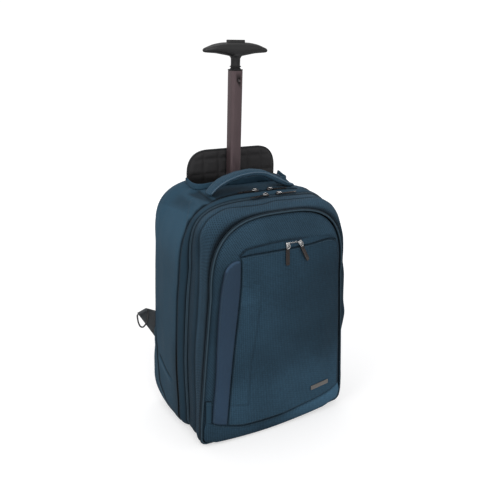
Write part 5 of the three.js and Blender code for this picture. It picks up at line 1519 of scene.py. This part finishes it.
def tube_piece(name, w, r, wall, z0, z1):
    outer = [square_ring(w - 0.6, r - 0.3, z0), square_ring(w, r, z0 + 0.4)] + [square_ring(w, r, z) for z in np.linspace(z0 + 2, z1 - 2, 24)] + [square_ring(w, r, z1 - 0.4), square_ring(w - 0.6, r - 0.3, z1)]
    inner = [square_ring(w - 2 * wall, r - wall, z) for z in (z1, z0)]
    return loft(name, np.array(outer + inner), True)


inner_pole = tube_piece("pole_tube_inner", 24, 6.3, 1.5, 300, 684)
dimple_at = np.array([POLE_X + 2.0, pole_y(666) - 12.0, 666])
a = np.arange(16) * TAU / 16
dimple = loft("dimple_tool", np.array([[(dimple_at[0] + r_ * math.cos(t), dimple_at[1] + y_, dimple_at[2] + r_ * math.sin(t)) for t in a] for r_, y_ in ((3.0, -2.0), (3.0, 0.2), (2.2, 0.9))]))
cut(inner_pole, [dimple])
piece(inner_pole, POLE, body="handle", replaces=("pole_inner",), sharp=30)
pin = loft("pole_catch", np.array([[(dimple_at[0] + r_ * math.cos(t), dimple_at[1] + y_, dimple_at[2] + r_ * math.sin(t)) for t in a] for r_, y_ in ((0.6, 0.15), (1.5, 0.3), (1.9, 0.8), (1.9, 1.2))]))
piece(pin, PLASTIC, body="handle")
piece(tube_piece("pole_tube_outer", 29, 8, 2, 36, 438), POLE, replaces=("pole_outer",), sharp=30)


def lathe(name, profile, n=40, lean=True):
    """Turned about the pole's axis; rows are radius, z."""
    a = np.arange(n) * TAU / n
    return loft(name, np.array([[(POLE_X + r * math.cos(t), pole_y(z) + r * math.sin(t), z) for t in a] for r, z in profile]))


collar_low = loft("collar_low", np.array([square_ring(24.2, 6.4, 684.35), square_ring(25.0, 6.7, 684.9), square_ring(25.0, 6.7, 685.9), square_ring(24.0, 6.4, 686.5)]))
collar_mid = lathe("collar_mid", [(11.8, 686.3), (11.2, 687.2), (9.9, 688.2), (9.1, 689.2), (9.1, 690.4), (10.4, 690.7), (11, 691.1), (11, 692.2), (10.4, 692.6), (9.2, 692.9), (9.0, 694), (9.0, 700), (9.05, 704), (9.1, 708.2)])
collar = join([collar_low, collar_mid], "pole_collar_turned")
piece(collar, NECK, body="handle", replaces=("pole_collar",), sharp=35)

GRIP = [(-69.5, 722.2, 718.6, 4), (-67, 724.2, 717.2, 7.5), (-60, 727, 716.5, 10), (-44, 732.4, 715.5, 12.5), (-24, 735.2, 712.5, 13), (0, 735.6, 709, 13), (24, 735.2, 712.5, 13), (44, 732.4, 715.5, 12.5), (60, 727, 716.5, 10), (67, 724.2, 717.2, 7.5), (69.5, 722.2, 718.6, 4)]
gx = np.array([r[0] for r in GRIP], float)
xs = np.concatenate([-69.5 + np.array([0, 0.3, 0.9, 1.8, 3.2, 5]), np.linspace(-62, 62, 60), 69.5 - np.array([5, 3.2, 1.8, 0.9, 0.3, 0])])
gy = pole_y(722)
grip_rings = []
ga = (np.arange(36) + 0.5) * TAU / 36
for x in xs:
    top, bot, dep = (float(curve(gx, [r[k] for r in GRIP], x)) for k in (1, 2, 3))
    end = 69.6 - abs(x)
    k = math.sqrt(max(0.0, 1 - max(0.0, 1 - end / 5.0) ** 2)) if end < 5 else 1.0
    rr = super_rho(ga, 2.3)
    mid_z, hh = (top + bot) / 2, (top - bot) / 2
    grip_rings.append(np.stack([np.full(36, POLE_X + x), gy + max(dep * k, 0.5) * rr * np.cos(ga), mid_z + max(hh * (0.35 + 0.65 * k), 0.5) * rr * np.sin(ga)], -1))
grip_body = loft("grip_body", np.array(grip_rings))
neck = lathe("grip_neck", [(9.05, 704), (9.3, 706.5), (10.5, 708.8), (12.2, 710.8), (12.8, 713), (8, 716)], 36)
merge = grip_body.modifiers.new("join", "BOOLEAN")
merge.operation, merge.object, merge.solver = "UNION", neck, "MANIFOLD"
apply_modifiers(grip_body)
bpy.data.objects.remove(neck)
rm = grip_body.modifiers.new("remesh", "REMESH")
rm.mode, rm.voxel_size, rm.use_smooth_shade = "VOXEL", 0.0011, True
sm = grip_body.modifiers.new("smooth", "SMOOTH")
sm.factor, sm.iterations = 0.5, 8
apply_modifiers(grip_body)
slot_poly = round_corners([(POLE_X - 19.5, gy - 6), (POLE_X + 19.5, gy - 6), (POLE_X + 19.5, gy + 6), (POLE_X - 19.5, gy + 6)], [5] * 4, 8)
cut(grip_body, [prism("slot_tool", slot_poly, 728, 745)])
grip_tone = grip_body.data.attributes.get("tone") or grip_body.data.attributes.new("tone", "FLOAT", "POINT")
grip_tone.data.foreach_set("value", np.ones(len(grip_body.data.vertices), np.float32))
piece(grip_body, GRIP_PLASTIC, body="handle", replaces=("grip",), sharp=45)
btn_poly = round_corners([(-19, -5.5), (19, -5.5), (19, 5.5), (-19, 5.5)], [5] * 4, 8)
btn = resample(btn_poly, 1.6)
btn_rings = []
for k, z in ((1, 731), (1, 738.4), (0.985, 739.1), (0.955, 739.6), (0.90, 739.9), (0.6, 740.0)):
    q = btn * [1 - (1 - k) * 0.45, k]
    btn_rings.append(np.column_stack([POLE_X + q[:, 0], gy + q[:, 1], np.full(len(q), z)]))
piece(loft("grip_button_cap", np.array(btn_rings)), GRIP_PLASTIC, body="button", replaces=("grip_button",), sharp=40)


# ------------------------------------------------------------------ zip sliders and pulls
def pull(name, at, direction, normal, length=40.0, wide=8.4):
    """Slider body, ring and flat pull; returns the three finished objects."""
    d = unit(np.array(direction, float))
    n = np.array(normal, float)
    n = unit(n - (n @ d) * d)
    s = np.cross(n, d)
    at = np.array(at, float)

    def P(a_, b_, c_):
        return at + d * a_ + s * b_ + n * c_

    def ring_of(cells):
        return np.array([P(*c_) for c_ in cells])

    body = []
    t = np.arange(20) * TAU / 20
    rr = super_rho(t, 3.5)
    for h, k in ((0.1, 0.80), (0.4, 0.92), (1.0, 0.94), (2.2, 0.94), (3.0, 0.88), (3.4, 0.74)):
        body.append(ring_of([(0.5 + 5.4 * k * r_ * math.cos(a_), 4.3 * k * r_ * math.sin(a_) * (1 - 0.12 * math.cos(a_)), h) for r_, a_ in zip(rr, t)]))
    slider = loft(name + "_slider", np.array(body))
    bridge = tube(name + "_bridge", np.array([P(-3.2, 0, 2.8), P(-2.6, 0, 4.4), P(-0.4, 0, 5.2), P(2.2, 0, 4.6), P(3.2, 0, 3.0)]), 0.75, 8, normal=np.broadcast_to(s, (5, 3)))
    ra = np.arange(24) * TAU / 24
    tilt = math.radians(30)
    ring_path = np.array([P(3.6 + 4.8 * math.cos(q), 3.6 * math.sin(q), 4.1 - 2.2 * math.cos(q) * math.sin(tilt)) for q in ra])
    ring = tube(name + "_ring", ring_path, 0.75, 8, closed=True, normal=np.broadcast_to(n, ring_path.shape))
    poly = round_corners([(6.5, -wide * 0.34), (11, -wide / 2), (length, -wide / 2), (length, wide / 2), (11, wide / 2), (6.5, wide * 0.34)], [1.0, 3, 2.4, 2.4, 3, 1.0], 5)
    top_pts = lambda uv, h: at + uv[:, 0:1] * d + uv[:, 1:2] * s + np.asarray(h, float)[:, None] * n
    blade = plate(name + "_blade", poly, 1.5,
                  lambda uv, dd: top_pts(uv, 2.2 + 0.35 * smooth(0, 0.6, dd) - 0.35 * smooth(1.4, 1.9, dd) * smooth(length - 3, length - 5, uv[:, 0]) * smooth(12, 14, uv[:, 0])),
                  lambda uv, dd: top_pts(uv, 0.9 + 0.2 * (dd < 0.1)), 4, None, (0.25, 0.6, 1.4, 1.9))
    return join([slider, bridge], name + "_slider"), ring, blade


def on_pocket(x, z, lift):
    return (x, float(front_y(np.array(x), np.array(z))) - lift, z)


PULLS = {
    "pull_a_left": (np.array(on_top(Y_ZIP_A, -7)) + [0, 0, 0.6], (-1, -0.03, 0), (0, 0, 1)),
    "pull_a_right": (np.array(on_top(Y_ZIP_A, 22)) + [0, 0, 0.6], (1, -0.03, -0.02), (0, 0, 1)),
    "pull_b_left": (np.array(on_top(Y_ZIP_B, 4)) + [0, 0, 2.2], (-1, -0.25, 0.01), (0, 0, 1)),
    "pull_b_right": (np.array(on_top(Y_ZIP_B, 30)) + [0, 0, 2.2], (1, -0.04, 0), (0, 0, 1)),
    "pull_pocket_left": (on_pocket(6, 386, LIFT + 4.6), (0.02, -0.03, -1), (0, -1, 0)),
    "pull_pocket_right": (on_pocket(33, 386, LIFT + 4.6), (0.42, -0.12, -0.9), (0.3, -1, 0)),
}
for name, (at, d, n) in PULLS.items():
    slider, ring, blade = pull(name, at, d, n, wide=8.0 if "pocket" in name else 5.4)
    piece(slider, CHROME if "pocket" in name else DARK_METAL, sharp=40)
    piece(ring, CHROME)
    piece(blade, GUN, replaces=(name,), sharp=40)

tooth, tooth_f = capsule(3.0, 1.7, 1.3)
tx = np.arange(11.5, 29.5, 2.7)
tc = np.array([on_pocket(x, 387.5, LIFT + 4.4) for x in tx])
one = np.ones((len(tx), 1))
piece(scatter("pocket_teeth", tc, one * [0, 0, 1], one * [1, 0, 0], one * [0, -1, 0], tooth, tooth_f), CHROME)

# ------------------------------------------------------------------ webbing tabs and D-rings at the rear edges
TIP_IN, TIP_OUT = np.array([180.5, 94, 212.0]), np.array([200, 94, 205.0])
for side, s in (("left", -1), ("right", 1)):
    root = [np.array([158, 89 + LEAN * 203, 203]), np.array([158, 89 + LEAN * 133.5, 133.5])]
    nu, nv = 26, 16
    G = np.zeros((nu, nv, 3))
    for i in range(nu):
        t = 0.06 + 0.94 * i / (nu - 1)
        aa, bb = root[0] + (TIP_IN - root[0]) * t, root[1] + (TIP_OUT - root[1]) * t
        for j in range(nv):
            G[i, j] = aa + (bb - aa) * j / (nv - 1)
    G[..., 0] *= s
    nn = grid_normals(G, False)
    thick = 0.85
    gu, gv = np.meshgrid(np.arange(nu) / (nu - 1), np.arange(nv) / (nv - 1), indexing="ij")
    wav = 0.55 * np.sin(gv * math.pi * 2) * np.sin(gu * math.pi)
    A, B = G + nn * (thick + wav)[..., None], G + nn * (-thick + wav)[..., None]
    w = loft(f"wing_webbing_{side}", np.concatenate([A, B[:, ::-1]], axis=1))
    piece(w, WING, replaces=(f"wing_{side}",), sharp=40)
    bar = unit(TIP_IN - TIP_OUT)
    c3 = (TIP_IN + TIP_OUT) / 2 + [0, -5.7, -1.5]
    down = np.array([0, 0, -1.0])
    hw = 12.5
    shape = [(-hw, 0), (-hw * 0.5, 0), (0, 0), (hw * 0.5, 0), (hw, 0)] + [(hw * math.cos(math.pi * k / 14), 3 + 30 * math.sin(math.pi * k / 14)) for k in range(1, 14)]
    path = smooth_line(np.array([c3 + bar * u + down * v for u, v in shape]) * [s, 1, 1], 2.0, closed=True)
    dn = unit(np.cross(bar, down)) * [s, 1, 1]
    piece(tube(f"d_ring_wire_{side}", path, 1.65, 12, closed=True, normal=np.broadcast_to(dn, path.shape)), PLASTIC, replaces=(f"d_ring_{side}",))
    # end of the webbing, rolled round the ring's bar
    fwd, upv = np.array([0, -1.0, 0]), unit(np.cross(bar, [0, -1.0, 0]))
    upv = upv if upv[2] > 0 else -upv
    prof = [(math.radians(a_), r_) for r_ in (3.3, 2.15) for a_ in (range(200, -121, -20) if r_ > 3 else range(-120, 201, 20))]
    roll = np.array([[(c3 + bar * u + fwd * (r_ * math.cos(q)) + upv * (r_ * math.sin(q))) * [s, 1, 1] for q, r_ in prof] for u in np.linspace(-9.6, 9.6, 12)])
    piece(loft(f"wing_roll_{side}", roll), WING, sharp=50)

# ------------------------------------------------------------------ wheels, housings, feet
for side, s in (("left", -1), ("right", 1)):
    cx = s * WHEEL_X

    def turned(name, profile, n):
        a = np.arange(n) * TAU / n
        return loft(name, np.array([[(cx + x, WHEEL_Y + r * math.cos(t), WHEEL_R + r * math.sin(t)) for t in a] for r, x in profile]), True)

    hw = WHEEL_W / 2
    tyre = turned(f"tyre_tread_{side}", [(25.35, -hw + 0.4), (26.5, -hw), (29, -hw), (31, -hw + 0.9), (32.3, -hw + 2.4), (33, -hw + 5), (33, -4.6), (32.1, -4.2), (32.1, -3.2), (33, -2.8), (33, 2.8), (32.1, 3.2), (32.1, 4.2), (33, 4.6), (33, hw - 5), (32.3, hw - 2.4), (31, hw - 0.9), (29, hw), (26.5, hw), (25.35, hw - 0.4)], 72)
    piece(tyre, RUBBER, body=f"wheel_{side}", replaces=(f"tyre_{side}",), sharp=35)
    hub = turned(f"hub_turned_{side}", [(4.6, -hw - 1), (8.6, -hw - 1), (9.2, -hw - 0.6), (10, -hw + 2.4), (11, -hw + 3), (20, -hw + 3), (21.4, -hw + 2.7), (24.2, -hw + 1), (25, -hw + 1.4), (25, hw - 1.4), (24.2, hw - 1), (21.4, hw - 2.7), (20, hw - 3), (11, hw - 3), (10, hw - 2.4), (9.2, hw + 0.6), (8.6, hw + 1), (4.6, hw + 1)], 60)
    holes = []
    for k in range(6):
        a0 = TAU * k / 6
        t = np.arange(16) * TAU / 16
        holes.append(loft(f"hub_hole_{side}_{k}", np.array([[(cx + x, WHEEL_Y + 15.6 * math.cos(a0) + 3.2 * math.cos(q), WHEEL_R + 15.6 * math.sin(a0) + 3.2 * math.sin(q)) for q in t] for x in (-20, 20)])))
    cut(hub, holes)
    piece(hub, HUB, body=f"wheel_{side}", replaces=(f"hub_{side}",), sharp=35)


def bevelled(node, width, material):
    src = NODES[node]
    me = src.data.copy()
    me.materials.clear()
    o = bpy.data.objects.new(node + "_moulded", me)
    scene.collection.objects.link(o)
    w = o.modifiers.new("weld", "WELD")
    w.merge_threshold = 1e-6
    b = o.modifiers.new("bevel", "BEVEL")
    b.width, b.segments, b.limit_method, b.angle_limit = width, 3, "ANGLE", math.radians(35)
    apply_modifiers(o)
    a_ = o.data.attributes.new("tone", "FLOAT", "POINT") if "tone" not in o.data.attributes else o.data.attributes["tone"]
    a_.data.foreach_set("value", np.ones(len(o.data.vertices), np.float32))
    return piece(o, material, replaces=(node,), sharp=30)


for side in ("left", "right"):
    bevelled(f"foot_{side}", 0.0016, PLASTIC)
    bevelled(f"housing_{side}", 0.0010, PLASTIC)
    node = NODES[f"axle_{side}"]
    node.data.materials.clear()
    node.data.materials.append(STEEL)
